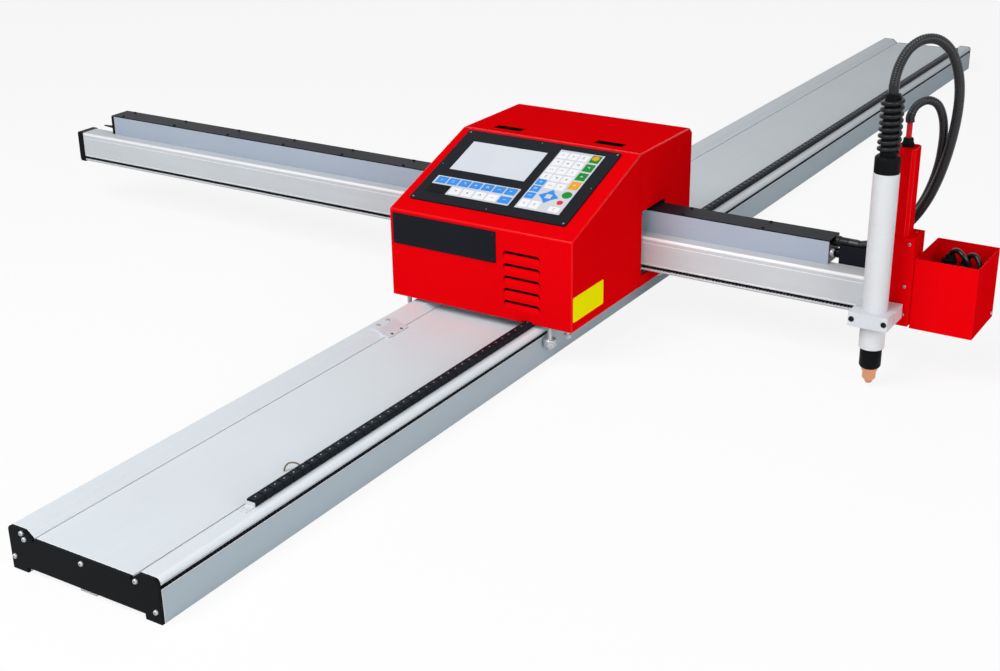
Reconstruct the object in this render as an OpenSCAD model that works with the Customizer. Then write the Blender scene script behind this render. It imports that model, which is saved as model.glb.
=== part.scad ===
// Portable CNC plasma cutter: a carriage on a floor rail carries a cross beam with a torch lifter.
// X runs across the rail towards the torch, Y along the rail, Z up. The origin is the middle of
// the rail's underside.

/* [Rail] */
// Length of the rail extrusion
rail_length = 3400; // [3200:10:3600]
// Width over the two ridges
rail_w = 266; // [264:1:268]
// Height of the ridge tops above the floor
rail_h = 65; // [64:0.5:66]
// Width of each flat ridge top
ridge_w = 31.5; // [31:0.5:32]
// Width of the slope from a ridge down to the bed
ridge_slope = 12.5; // [10:0.5:14]
// Depth of the bed below the ridge tops
bed_drop = 9.5; // [8:0.5:11]
// Wall of the hollow extrusion
rail_wall = 3; // [2.5:0.25:3.5]
// Width of each outer foot
foot_w = 28; // [24:1:30]
// Height of the feet under the raised middle
foot_h = 8; // [6:0.5:9]
// Width of the extrusion's foot under the middle, between the end caps
centre_foot_w = 28; // [20:1:36]
// Height of the lower edge of the side grooves
groove_z = 49; // [48:0.5:50]
// Height of the side grooves
groove_h = 6; // [5.5:0.25:6.5]
// Depth of the side grooves
groove_depth = 8; // [7.5:0.5:9]
// Radius of the outer top edges
edge_r = 7; // [5:0.5:8]
// Thickness of the end caps
cap_t = 5; // [4:0.5:8]
// Length of the splice plate along the rail
splice_l = 54; // [40:1:70]
// Where the splice plate's middle lies along the rail
splice_y = -902; // [-1000:1:-850]

/* [Drag chain] */
// Width of the cable drag chain
chain_w = 15; // [12:0.5:15.5]
// Height of the cable drag chain
chain_h = 10; // [8:0.5:11]
// Pitch of the chain's links
link_pitch = 20; // [16:1:26]
// Number of links lying straight on the ridge
link_count = 156; // [120:1:156]
// Where the straight run of the chain begins
chain_start = -1500; // [-1540:10:-1300]

/* [Gearing] */
// Module of both racks and pinions
gear_module = 2; // [1.9:0.05:2.1]
// Number of teeth on both pinions
pinion_teeth = 18; // [17:1:19]
// Length that each rack tooth is thinner than half a pitch, for backlash
backlash = 0.5; // [0.3:0.1:0.8]

/* [Carriage] */
// Width of the carriage housing across the rail
host_w = 365; // [360:1:370]
// Depth of the carriage housing along the rail
host_l = 442; // [438:1:450]
// Height of the housing's lower edge
host_z = 72; // [71.5:0.5:74]
// Height of the housing's front edge under the slope
front_top_z = 232; // [225:1:240]
// Height of the housing's flat top
host_top_z = 320; // [310:1:330]
// Depth of the sloping control face along the rail
slope_l = 239; // [230:1:245]
// Distance of the housing's middle from the rail's middle
host_x = 14.5; // [12:0.5:17]
// Place of the housing's middle along the rail
host_y = -570; // [-600:10:600]
// Wall of the sheet-metal covers
sheet_t = 2; // [1.5:0.25:2.5]
// Thickness of the base plate
base_t = 6; // [5:0.5:7]
// Height of the base plate's underside
base_z = 84; // [83.5:0.25:85]

/* [Control panel] */
// Width of the panel bezel
bezel_w = 313; // [300:1:318]
// Length of the panel bezel up the slope
bezel_l = 211; // [205:1:216]
// Thickness of the panel bezel
bezel_t = 3; // [2:0.5:4]
// Distance from the foot of the slope to the bezel
bezel_up = 33.5; // [28:0.5:36]
// Width of the screen window
screen_w = 155; // [150:1:156]
// Height of the screen window
screen_h = 88; // [84:1:90]

/* [Rollers] */
// Diameter of the rollers on the ridges
roller_d = 24; // [23:0.5:24.5]
// Width of the rollers on the ridges
roller_w = 11; // [9:0.5:11.5]
// Diameter of the rollers on the rail's sides
side_roller_d = 22; // [20:0.5:23]
// Diameter of the beam's rollers
beam_roller_d = 18; // [16:0.5:18.5]
// Diameter of the roller axles
axle_d = 8; // [7:0.5:9]
// Gap between each roller and its track
roller_gap = 0.3; // [0.2:0.05:0.4]
// Radial clearance of a roller on its axle
run_fit = 0.08; // [0.05:0.01:0.1]

/* [Beam] */
// Length of the cross beam
beam_length = 1830; // [1700:10:1900]
// Depth of the cross beam along the rail
beam_d = 44; // [42:0.5:46]
// Height of the cross beam
beam_h = 64; // [62:0.5:66]
// Height of the beam's underside
beam_z = 102; // [101:0.5:103]
// Place of the beam's torch end across the rail
beam_right = 622; // [600:1:640]
// Depth of the cable duct along the rail
duct_d = 48; // [44:0.5:50]
// Height of the cable duct above the beam
duct_h = 42; // [36:1:46]
// Length of the cable duct
duct_l = 1651; // [1550:1:1700]
// Wall of the cable duct
duct_wall = 2; // [1.5:0.25:2.5]

/* [Lifter] */
// Width of the lifter housing
lifter_w = 42; // [40:0.5:44]
// Height of the lifter housing
lifter_h = 150; // [146:1:155]
// Width of the square motor cover
motor_cover_w = 36; // [34:0.5:37]
// Height of the motor cover
motor_cover_h = 144; // [130:1:155]
// Width of the open cable box
box_w = 102; // [90:1:110]
// Depth of the open cable box
box_d = 118; // [100:1:124]
// Height of the open cable box
box_h = 120; // [100:1:124]
// Wall of the open cable box
box_wall = 1.5; // [1:0.25:2.5]

/* [Torch] */
// Outer diameter of the torch tube
torch_d = 41; // [39:0.5:42]
// Length of the torch tube
torch_l = 293; // [280:1:300]
// Wall of the torch tube
torch_wall = 3; // [2:0.25:4]
// Height of the nozzle tip above the floor with the lifter at rest
tip_z = 7.5; // [6:0.5:10]
// Height of the copper nozzle
nozzle_h = 27.5; // [24:0.5:30]
// Height of the black nose above the nozzle
nose_h = 35.5; // [30:0.5:40]
// Height of the collar on top of the torch tube
collar_h = 27; // [22:0.5:30]
// Height of the strain-relief boot
boot_h = 96.5; // [96:0.25:97]
// Turns of the coil round the boot
boot_turns = 8.5; // [7:0.5:9]
// Outer diameter of the torch hose
hose_d = 16; // [14:0.5:17]
// Outer diameter of the motor hose
motor_hose_d = 14; // [12:0.5:15]

/* [Hidden] */
$fn = 48;
eps = 0.01;

// Rail profile
half_w = rail_w / 2;
ridge_in = half_w - ridge_w;
slope_foot = ridge_in - ridge_slope;
bed_z = rail_h - bed_drop;
slot_w = 3;
slot_depth = 4;
web_half = 30;
cap_screw_d = 7;
cap_screw_h = 3;

// Racks and pinions
tooth_pitch = PI * gear_module;
pinion_r = gear_module * pinion_teeth / 2;
rack_inset = 0.5;
rack_h = groove_h - 1;
rack_joint = 0.1;
y_rack_pieces = 4;
x_rack_pieces = 2;
y_rack_teeth = y_rack_pieces
    * floor((rail_length - 2 * cap_t - 2 * tooth_pitch) / tooth_pitch / y_rack_pieces);
y_pinion_x = half_w - rack_inset - gear_module + pinion_r;
y_pinion_y = -60;

// Drag chain, on the inner half of the right ridge
chain_x = ridge_in + 1.5 + chain_w / 2;
link_gap = 0.6;
link_wall = 3;
link_floor = 2;
end_plate_l = 20;
end_plate_t = 1.5;
chain_end = chain_start + link_count * link_pitch;

// Carriage
front_y = -host_l / 2;
slope_y = front_y + slope_l;
slope_rise = host_top_z - front_top_z;
slope_angle = atan2(slope_rise, slope_l);
base_top = base_z + base_t;
bezel_x = -5.5;
screen_x = -58;
screen_up = 127;
key_h = 1.2;
keypad_x = 83;
keypad_w = 87;
keypad_l = 171;
keypad_up = 57;
strip_w = 170;
strip_x = screen_x;
strip_up = 57;
strip_l = 47.5;
louvre_w = 75;
louvre_pitch = 22;
louvre_count = 5;
louvre_x = 85;
louvre_z = 106;
plate_w = 211;
plate_h = 56;
patch_w = 104;
patch_h = 44;
patch_z = 112;
patch_t = 0.4;
open_y = 29;
open_l = 86;
open_z = 94;
open_h = 120;

// Rail rollers
roller_x = half_w - 8;
roller_z = rail_h + roller_gap + roller_d / 2;
roller_y = [-150, 150];
side_roller_y = [-204, 204];
side_roller_x = half_w + roller_gap + side_roller_d / 2;
side_roller_z = groove_z - 10;
side_roller_w = 14;
bracket_t = 8;
bracket_x = side_roller_x - bracket_t / 2 - 1;
bracket_reach = 24;
jack_x = host_x + host_w / 2 - 18;
jack_d = 8;
jack_low = 54;
jack_nut_d = 14;
jack_nut_h = 6;
bore_r = axle_d / 2 + run_fit;

// Beam, with its own faces in the object's frame
beam_front = host_y + 33;
beam_back = beam_front + beam_d;
beam_left = beam_right - beam_length;
beam_top = beam_z + beam_h;
beam_groove_z = beam_z + 5;
duct_front = beam_front + 26;
duct_right = beam_right - 94;
duct_left = duct_right - duct_l;
duct_top = beam_top + duct_h;
x_rack_teeth = x_rack_pieces * floor((beam_length - 20) / tooth_pitch / x_rack_pieces);
x_pinion_y = beam_front + rack_inset + gear_module - pinion_r;
beam_roller_w = 16;
beam_roller_x = [-120, 150];
beam_roller_top_x = [-80, 110];
beam_roller_y = beam_front + 14;
beam_low_axis = beam_z - roller_gap - beam_roller_d / 2;
beam_top_axis = beam_top + roller_gap + beam_roller_d / 2;
low_axle_d = 5;
post_t = 10;
post_top = beam_top_axis + 15;
bridge_t = 6;
motor_w = 57;
motor_h = 56;
motor_shaft_d = 8;

// Lifter
lifter_left = beam_right + 16;
lifter_right = lifter_left + lifter_w;
lifter_front = beam_front - 6.5;
lifter_back = beam_back;
lifter_z = beam_z - 5;
lifter_top = lifter_z + lifter_h;
screw_x = lifter_left + 11;
screw_y = beam_front + 11.5;
screw_d = 8;
rod_d = 6;
rod_y = beam_front + 31;
rod_x = [lifter_left + 8, lifter_right - 9];
motor_x = screw_x;
motor_y = screw_y;
motor_cover_top = lifter_top + motor_cover_h;
gland_h = 14;
red_cable_h = 24.7;
seat_gap = 0.4;
red_cable_d = 9;
box_x = lifter_right + 1;
box_y = beam_front + 2;
box_z = beam_z - 10;
plate_t = 6;

// Torch and slide
torch_x = lifter_left + 1;
torch_y = beam_front - 52;
torch_r = torch_d / 2;
nose_z = tip_z + nozzle_h;
tube_z = nose_z + nose_h;
tube_top = tube_z + torch_l;
collar_top = tube_top + collar_h;
clamp_z = tube_z + 42;
clamp_h = 24;
clamp_half_w = 32.5;
clamp_back = torch_y + 41;
clamp_front = torch_y - 32;
clamp_split = 3;
arm_right = lifter_left - 2;
arm_left = arm_right - 12;
arm_h = 73;
channel_z = clamp_z + 46;
channel_h = 80;
channel_w = 22;
channel_front = lifter_front + 4;
channel_d = 22;
nut_h = 16;
tongue_h = 22;

// Coil round the boot: a wire wound clear of itself
coil_wire = 7;
coil_r = torch_r - 2 - coil_wire / 2;
coil_pitch = (boot_h - 10) / boot_turns;
coil_steps = 16;
echo(coil_gap_to_itself = coil_pitch - coil_wire);

// Hose routes, as points chosen by hand
torch_route = [
    [639, -589, 487], [639, -589, 505], [643, -585, 530], [653, -576, 554], [669, -561, 567],
    [687, -544, 565], [702, -528, 547], [711, -514, 517], [714, -502, 480], [711, -492, 436],
    [703, -484, 388], [691, -478, 340], [675, -474, 296], [654, -472, 258], [628, -472, 228],
    [601, -475, 207], [574, -478, 198], [563, -478, 198],
    [552, -478, 198]];
motor_route = [
    [649, -525.5, 430], [649, -525.5, 440], [655, -520, 455], [668, -510, 463], [681, -499, 456],
    [688, -490, 437], [690, -482, 413], [688, -474, 385], [683, -466, 352], [674, -459, 318],
    [661, -454, 284], [643, -451, 252], [620, -453, 222], [596, -462, 196], [573, -474, 176],
    [562, -474, 176], [552, -474, 176]];

// Helpers

module at_host() {
    translate([host_x, host_y, 0])
        children();
}

module on_slope(x, up) {
    translate([x, front_y, front_top_z])
        rotate([slope_angle, 0, 0])
            translate([0, up, 0])
                children();
}

module plate_box(w, l, h, r) {
    linear_extrude(h)
        rounded(w, l, r);
}

module rounded(w, l, r) {
    square([w - 2 * r, l], center = true);
    square([w, l - 2 * r], center = true);
    for (sx = [-1, 1], sy = [-1, 1])
        translate([sx * (w / 2 - r), sy * (l / 2 - r)])
            circle(r);
}

module pan_screw(d, h) {
    difference() {
        union() {
            cylinder(d = d, h = h * 0.6);
            translate([0, 0, h * 0.6])
                cylinder(d1 = d, d2 = d * 0.7, h = h * 0.4);
        }
        translate([0, 0, h * 0.5])
            cylinder(d = d * 0.4, h = h, $fn = 6);
    }
}

module roller(d, w, bore) {
    groove = 1;
    rim = d / 2 - 2;
    hub = bore + 0.8;
    rotate_extrude()
        polygon([[bore, -w / 2], [d / 2 - 1, -w / 2], [d / 2, -w / 2 + 1], [d / 2, w / 2 - 1],
                 [d / 2 - 1, w / 2], [rim, w / 2], [rim - 0.4, w / 2 - groove],
                 [hub + 0.4, w / 2 - groove], [hub, w / 2], [bore, w / 2]]);
}

// One rack: trapezoid teeth on a strip, drawn with the pitch line on the x axis
function rack_points(teeth, m, slack, back) = let(
        p = PI * m,
        lean = tan(20) * m,
        half = p / 4 - slack / 2)
    concat(
        [for (i = [0 : teeth - 1], k = [0 : 3])
            [(i + 0.5) * p + [-half - 1.25 * lean, -half + lean, half - lean, half + 1.25 * lean][k],
             [-1.25 * m, m, m, -1.25 * m][k]]],
        [[teeth * p - rack_joint, -1.25 * m], [teeth * p - rack_joint, -back],
         [rack_joint, -back], [rack_joint, -1.25 * m]]);

// One spur gear of involute teeth
function involute(base, t) = [base * (cos(t) + t * PI / 180 * sin(t)),
                              base * (sin(t) - t * PI / 180 * cos(t))];
function turned(p, a) = [p[0] * cos(a) - p[1] * sin(a), p[0] * sin(a) + p[1] * cos(a)];
function flank(base, r_out, n) = let(t_out = sqrt(pow(r_out / base, 2) - 1) * 180 / PI)
    [for (i = [0 : n]) involute(base, t_out * i / n)];
function gear_points(teeth, m) = let(
        r = m * teeth / 2,
        base = r * cos(20),
        inv = tan(20) * 180 / PI - 20,
        half = 90 / teeth + inv,
        side = flank(base, r + m, 3),
        root = r - 1.25 * m)
    [for (i = [0 : teeth - 1]) let(a = i * 360 / teeth)
        each concat(
            [turned([root, 0], a - half)],
            [for (p = side) turned(p, a - half)],
            [for (k = [3 : -1 : 0]) turned([side[k][0], -side[k][1]], a + half)],
            [turned([root, 0], a + half)])];

// Tube along a route: points on a smooth curve at even distances
function spline(p, i, t) = let(
        a = p[max(i - 1, 0)],
        b = p[i],
        c = p[i + 1],
        d = p[min(i + 2, len(p) - 1)])
    0.5 * (2 * b + (c - a) * t + (2 * a - 5 * b + 4 * c - d) * t * t
        + (3 * b - a - 3 * c + d) * t * t * t);
function fine_path(p) = [for (i = [0 : len(p) - 2], k = [0 : 7]) spline(p, i, k / 8),
                         p[len(p) - 1]];
function run_lengths(q) = [for (i = 0, s = 0; i < len(q);
                                s = s + (i + 1 < len(q) ? norm(q[i + 1] - q[i]) : 0), i = i + 1) s];
function at_length(q, s, x) = [for (k = [0 : 2]) lookup(x, [for (i = [0 : len(q) - 1])
                                                            [s[i], q[i][k]]])];
function ring(c, dir, across, r, sides) = let(
        u = cross(dir, across) / norm(cross(dir, across)),
        v = cross(dir, u) / norm(cross(dir, u)))
    [for (k = [0 : sides - 1]) c + r * (cos(k * 360 / sides) * u + sin(k * 360 / sides) * v)];

module ring_skin(rings, closed) {
    sides = len(rings[0]);
    last = len(rings) - (closed ? 1 : 2);
    n = len(rings);
    polyhedron(
        points = [for (q = rings) each q],
        faces = concat(
            [for (i = [0 : last], k = [0 : sides - 1], h = [0, 1]) let(
                    a = i * sides + k,
                    b = i * sides + (k + 1) % sides,
                    c = ((i + 1) % n) * sides + (k + 1) % sides,
                    d = ((i + 1) % n) * sides + k)
                h == 0 ? [a, c, b] : [a, d, c]],
            closed ? [] : [[for (k = [0 : sides - 1]) k],
                           [for (k = [sides - 1 : -1 : 0]) (n - 1) * sides + k]]));
}

// Ribbed hose with its bore: ridges and valleys outside, a smooth wall inside
module ribbed_hose(route, across, d, bore, ribs, sides) {
    q = fine_path(route);
    s = run_lengths(q);
    total = s[len(s) - 1];
    cuff = d;
    step = (total - 2 * cuff) / (2 * ribs);
    outer = concat([0], [for (i = [0 : 2 * ribs]) cuff + i * step], [total]);
    inner = [for (i = [24 : -1 : 0]) total * i / 24];
    ring_skin(concat(
        [for (i = [0 : len(outer) - 1])
            ring(at_length(q, s, outer[i]), heading(q, s, outer[i], total), across,
                 (i % 2 == 1 && i > 1 && i < len(outer) - 2 ? d / 2 - 0.9 : d / 2), sides)],
        [for (x = inner) ring(at_length(q, s, x), heading(q, s, x, total), across,
                              bore / 2, sides)]), true);
}

function heading(q, s, x, total) = let(
        w = 4,
        a = at_length(q, s, max(x - w, 0)),
        b = at_length(q, s, min(x + w, total)))
    (b - a) / norm(b - a);

// Rail

module rail_outline() {
    top = edge_r;
    for (side = [0, 1])
        mirror([side, 0])
            difference() {
                union() {
                    polygon([[0, foot_h], [half_w - foot_w, foot_h], [half_w - foot_w, 0],
                             [half_w, 0], [half_w, rail_h - top], [half_w - top, rail_h],
                             [ridge_in, rail_h], [slope_foot, bed_z], [0, bed_z]]);
                    translate([half_w - top, rail_h - top])
                        circle(top);
                }
                translate([slope_foot - slot_w, bed_z - slot_depth])
                    square([slot_w, slot_depth + 1]);
            }
}

module rail_cells() {
    w = rail_wall;
    cell_h = bed_z - foot_h - 2 * w - slot_depth;
    translate([-web_half + w / 2, foot_h + w])
        square([2 * web_half - w, cell_h]);
    for (side = [0, 1])
        mirror([side, 0]) {
            translate([web_half + w / 2, foot_h + w])
                square([slope_foot - web_half - 2 * w, cell_h]);
            polygon([[slope_foot + w, foot_h + w], [half_w - foot_w + w, foot_h + w],
                     [half_w - foot_w + w, w], [half_w - w, w], [half_w - w, groove_z - w],
                     [half_w - groove_depth - w, groove_z - w],
                     [half_w - groove_depth - w, rail_h - 2 * w],
                     [ridge_in + w, rail_h - 2 * w], [slope_foot + w, bed_z - w]]);
            translate([half_w - groove_depth, groove_z])
                square([groove_depth + 1, groove_h]);
        }
}

module along_rail(l) {
    translate([0, l / 2, 0])
        rotate([90, 0, 0])
            linear_extrude(l)
                children();
}

module rail_extrusion() {
    color("silver")
        along_rail(rail_length - 2 * cap_t)
            difference() {
                union() {
                    rail_outline();
                    translate([-centre_foot_w / 2, 0])
                        square([centre_foot_w, foot_h + eps]);
                }
                rail_cells();
            }
}

module rail_end_caps() {
    color("#1c1c1e")
        for (side = [-1, 1])
            translate([0, side * (rail_length - cap_t) / 2, 0])
                along_rail(cap_t)
                    rail_outline();
}

cap_screw_at = [[-half_w + 7, 20], [-half_w + 26, rail_h - 5.5], [-half_w + 30, rail_h - 13.5],
                [0, bed_z - 8], [half_w - 38, rail_h - 13], [half_w - 8, 17]];

module rail_cap_screws() {
    color("gainsboro")
        for (side = [0, 1], p = cap_screw_at)
            mirror([0, side, 0])
                translate([p[0], -rail_length / 2, p[1]])
                    rotate([90, 0, 0])
                        pan_screw(cap_screw_d, cap_screw_h);
}

module y_rack() {
    span = y_rack_teeth * tooth_pitch;
    back = half_w - groove_depth;
    pitch_x = half_w - rack_inset - gear_module;
    phase = tooth_phase(host_y + y_pinion_y, span);
    color("dimgray")
        translate([0, phase, groove_z + (groove_h - rack_h) / 2])
            linear_extrude(rack_h)
                for (i = [0 : y_rack_pieces - 1])
                    translate([pitch_x, span / 2 - i * span / y_rack_pieces])
                        rotate(-90)
                            polygon(rack_points(y_rack_teeth / y_rack_pieces, gear_module,
                                                backlash, pitch_x - back));
}

// Shift of a centred rack that puts a gap between two teeth at a given place
function tooth_phase(place, span) = let(
        n = (place + span / 2) / tooth_pitch)
    place + span / 2 - round(n) * tooth_pitch;

module link_outline(l) {
    w = link_gap;
    polygon([[w / 2, 0], [l - w / 2, 0], [l - w / 2, chain_h - 3], [l - 3, chain_h],
             [3, chain_h], [w / 2, chain_h - 3]]);
}

module chain_link() {
    difference() {
        rotate([90, 0, 90])
            translate([0, 0, -chain_w / 2])
                linear_extrude(chain_w)
                    link_outline(link_pitch);
        translate([-chain_w / 2 + link_wall, -1, link_floor + eps])
            cube([chain_w - 2 * link_wall, link_pitch + 2, chain_h - 2 * link_floor]);
    }
}

module chain_spine(l) {
    translate([-chain_w / 2 + link_wall, 0, 0])
        cube([chain_w - 2 * link_wall, l, link_floor]);
}

module drag_chain() {
    color("#17181a")
        translate([chain_x, 0, rail_h]) {
            for (i = [0 : link_count - 1])
                translate([0, chain_start + i * link_pitch, 0])
                    chain_link();
            translate([0, chain_start, 0])
                chain_spine(link_count * link_pitch);
        }
}

module chain_bracket() {
    w = chain_w;
    lip = 2;
    color("silver")
        for (end = [0, 1])
            translate([chain_x, end == 0 ? chain_start : chain_end, rail_h])
                mirror([0, end, 0])
                    difference() {
                        union() {
                            translate([-w / 2, -end_plate_l, 0])
                                cube([w, end_plate_l, end_plate_t]);
                            translate([-w / 2, -lip, 0])
                                cube([w, lip, chain_h * 0.7]);
                        }
                        for (x = [-1, 1])
                            translate([x * (w / 2 - 4), -end_plate_l / 2, -1])
                                cylinder(d = 4, h = end_plate_t + 2);
                    }
}

module splice_plate() {
    t = 2.5;
    up = 2.2;
    color("silver")
        translate([0, splice_y, 0])
            difference() {
                union() {
                    translate([-ridge_in - 14, -splice_l / 2, rail_h])
                        cube([14 + eps, splice_l, t]);
                    rotate([90, 0, 0])
                        translate([0, 0, -splice_l / 2])
                            linear_extrude(splice_l)
                                polygon([[-ridge_in, rail_h], [-ridge_in, rail_h + t],
                                         [-slope_foot + 1, bed_z + t + up],
                                         [-slope_foot + 12, bed_z + t],
                                         [-slope_foot + 12, bed_z],
                                         [-slope_foot, bed_z]]);
                }
                for (y = [-splice_l / 4, splice_l / 4])
                    translate([-ridge_in - 8, y, rail_h - 1])
                        cylinder(d = 4, h = 6);
            }
    color("gray")
        for (y = [-splice_l / 4, splice_l / 4])
            translate([-ridge_in - 8, splice_y + y, rail_h + t])
                pan_screw(7, 2.5);
}

// Carriage

module base_plate() {
    inset = sheet_t + 0.5;
    color("silver")
        at_host()
            difference() {
                translate([-host_w / 2 + inset, front_y + inset, base_z])
                    cube([host_w - 2 * inset, host_l - 2 * inset, base_t]);
                for (sx = [-1, 1], y = roller_y)
                    translate([sx * roller_x - host_x, y, base_z + base_t / 2])
                        cube([roller_w + 5, roller_d + 6, base_t * 2], center = true);
                for (x = beam_roller_x)
                    translate([x - host_x, beam_roller_y - host_y, base_z + base_t / 2])
                        cube([beam_roller_d + 5, beam_roller_w + 4, base_t * 2], center = true);
                translate([y_pinion_x - host_x, y_pinion_y, base_z - 1])
                    cylinder(d = motor_shaft_d + 6, h = base_t + 2);
                for (sx = [-1, 1], y = side_roller_y)
                    translate([sx * side_roller_x - host_x, y, base_z - 1])
                        cylinder(r = bore_r, h = base_t + 2);
            }
}

module side_outline(extra) {
    polygon([[front_y + extra, host_z - eps], [front_y + extra, front_top_z - extra * 0.55],
             [slope_y + extra * 0.2, host_top_z - extra], [-front_y - 10, host_top_z - extra],
             [-front_y - extra, host_top_z - 10], [-front_y - extra, host_z - eps]]);
}

module host_shell(from_y, to_y) {
    intersection() {
        difference() {
            rotate([90, 0, 90])
                translate([0, 0, -host_w / 2])
                    linear_extrude(host_w)
                        side_outline(0);
            rotate([90, 0, 90])
                translate([0, 0, -host_w / 2 + sheet_t])
                    linear_extrude(host_w - 2 * sheet_t)
                        translate([0, -1])
                            side_outline(sheet_t);
        }
        translate([-host_w, from_y, host_z])
            cube([2 * host_w, to_y - from_y, host_top_z]);
    }
}

module louvre_hood() {
    rotate([90, 0, 90])
        translate([0, 0, -louvre_w / 2])
            linear_extrude(louvre_w)
                polygon([[0, 0], [-5, -9], [-5, -10.5], [-3.5, -10.5], [0, -3]]);
}

seam_y = slope_y;
chain_way_gap = 2;

module chain_way() {
    w = chain_w + 2 * chain_way_gap;
    translate([chain_x - host_x - w / 2, -host_l, host_z - 1])
        cube([w, 2 * host_l, rail_h + chain_h + chain_way_gap - host_z + 1]);
}

module front_cover() {
    color("#d40a10")
        at_host()
            difference() {
                union() {
                    host_shell(front_y - 1, seam_y);
                    for (i = [0 : louvre_count - 1])
                        translate([louvre_x, front_y + eps, louvre_z + i * louvre_pitch + 10])
                            louvre_hood();
                }
                for (i = [0 : louvre_count - 1])
                    translate([louvre_x - louvre_w / 2 + 2, front_y - 0.5,
                               louvre_z + i * louvre_pitch])
                        cube([louvre_w - 4, sheet_t + 1, 5]);
                on_slope(bezel_x, bezel_up + 10)
                    translate([-bezel_w / 2 + 10, 0, -10])
                        cube([bezel_w - 20, bezel_l - 20, 20]);
                chain_way();
            }
}

module rear_cover() {
    color("#c4080e")
        at_host()
            difference() {
                host_shell(seam_y + 0.4, -front_y + 1);
                translate([-host_w, open_y, open_z])
                    cube([2 * host_w, open_l, open_h]);
                chain_way();
                for (sx = [-1, 1])
                    translate([sx * 104, 50, host_top_z])
                        cube([58, 20, 3 * sheet_t], center = true);
                for (x = [-90 : 12 : -30])
                    translate([x, -front_y - sheet_t - 1, 240])
                        cube([6, sheet_t + 2, 40]);
                translate([40, -front_y - sheet_t - 1, 130])
                    cube([100, sheet_t + 2, 60]);
            }
}

module panel_bezel() {
    color("#202329")
        at_host()
            on_slope(bezel_x, bezel_up + bezel_l / 2)
                difference() {
                    plate_box(bezel_w, bezel_l, bezel_t, 4);
                    translate([screen_x - bezel_x, screen_up - bezel_up - bezel_l / 2
                               + screen_h / 2, -1])
                        linear_extrude(bezel_t + 2)
                            square([screen_w, screen_h], center = true);
                    for (sx = [-1, 1], sy = [-1, 0, 1])
                        translate([sx * (bezel_w / 2 - 6), sy * (bezel_l / 2 - 6), bezel_t - 1])
                            cylinder(d = 5, h = 2);
                }
}

module screen() {
    depth = 6;
    color("#dfe5ec")
        at_host()
            on_slope(screen_x, screen_up + screen_h / 2)
                translate([-screen_w / 2 + 0.1, -screen_h / 2 + 0.1, -depth + 1])
                    cube([screen_w - 0.2, screen_h - 0.2, depth + bezel_t - 2]);
}

module key_block(w, l, columns, rows) {
    gap = 2.5;
    kw = (w - gap) / columns - gap;
    kl = (l - gap) / rows - gap;
    for (i = [0 : columns - 1], j = [0 : rows - 1])
        translate([gap + i * (kw + gap), gap + j * (kl + gap), 0])
            cube([kw, kl, key_h]);
}

module right_keypad() {
    t = 0.8;
    color("#e9eaee")
        at_host()
            on_slope(keypad_x, keypad_up + keypad_l / 2)
                translate([0, 0, bezel_t]) {
                    plate_box(keypad_w, keypad_l, t, 2);
                    translate([-keypad_w / 2, -keypad_l / 2 + keypad_l * 0.45, 0])
                        key_block(keypad_w, keypad_l * 0.55, 4, 5);
                    translate([-keypad_w / 2, -keypad_l / 2, 0])
                        key_block(keypad_w, keypad_l * 0.45, 4, 4);
                }
}

module lower_keypad() {
    t = 0.8;
    color("#3f8fe0")
        at_host()
            on_slope(strip_x, strip_up + strip_l / 2)
                translate([0, 0, bezel_t]) {
                    plate_box(strip_w, strip_l, t, 2);
                    translate([-strip_w / 2, 0, 0])
                        key_block(strip_w, strip_l / 2, 7, 1);
                    translate([-strip_w / 2 + 42, -strip_l / 2, 0])
                        key_block(strip_w - 42, strip_l / 2, 5, 1);
                }
}

module name_plate() {
    color("#16171a")
        at_host()
            translate([-host_w / 2 + 7 + plate_w / 2, front_y, 170 + plate_h / 2])
                rotate([90, 0, 0]) {
                    plate_box(plate_w, plate_h, 1.5, 3);
                    for (sx = [-1, 1], sy = [-1, 1])
                        translate([sx * (plate_w / 2 - 6), sy * (plate_h / 2 - 6), 1.5])
                            pan_screw(5, 1.5);
                }
}

module side_patch() {
    color("#f0c21a")
        at_host()
            translate([host_w / 2, front_y + 3 + patch_w / 2, patch_z])
                rotate([90, 0, 90])
                    plate_box(patch_w, patch_h, patch_t, 3);
}

module cover_screws() {
    color("gainsboro")
        at_host()
            for (sx = [0, 1])
                mirror([sx, 0, 0])
                    for (p = [[seam_y + 35, 225], [seam_y + 150, 100], [seam_y + 150, 290],
                              [front_y + patch_w + 18, 90], [-10, 90]])
                        translate([host_w / 2, p[0], p[1]])
                            rotate([0, 90, 0])
                                pan_screw(6, 2);
}

module wheel_brackets() {
    plate_low = side_roller_z + side_roller_w / 2 + 6;
    color("#b9bdc2")
        translate([0, host_y, 0])
            for (side = [0, 1], end = [0, 1])
                mirror([side, 0, 0])
                    mirror([0, end, 0])
                        difference() {
                            union() {
                                translate([bracket_x - bracket_t / 2, roller_y[1] - 18, plate_low])
                                    cube([bracket_t, 36, base_z - plate_low]);
                                translate([bracket_x - bracket_t / 2, roller_y[1] - 18,
                                           base_z - bracket_t])
                                    cube([bracket_reach, side_roller_y[1] - roller_y[1] + 30,
                                          bracket_t]);
                            }
                            translate([0, roller_y[1], roller_z])
                                rotate([0, 90, 0])
                                    cylinder(r = axle_d / 2 + 0.02, h = half_w * 2);
                            translate([side_roller_x, side_roller_y[1], 0])
                                cylinder(r = axle_d / 2 + 0.02, h = base_z + 1);
                        }
}

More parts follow.
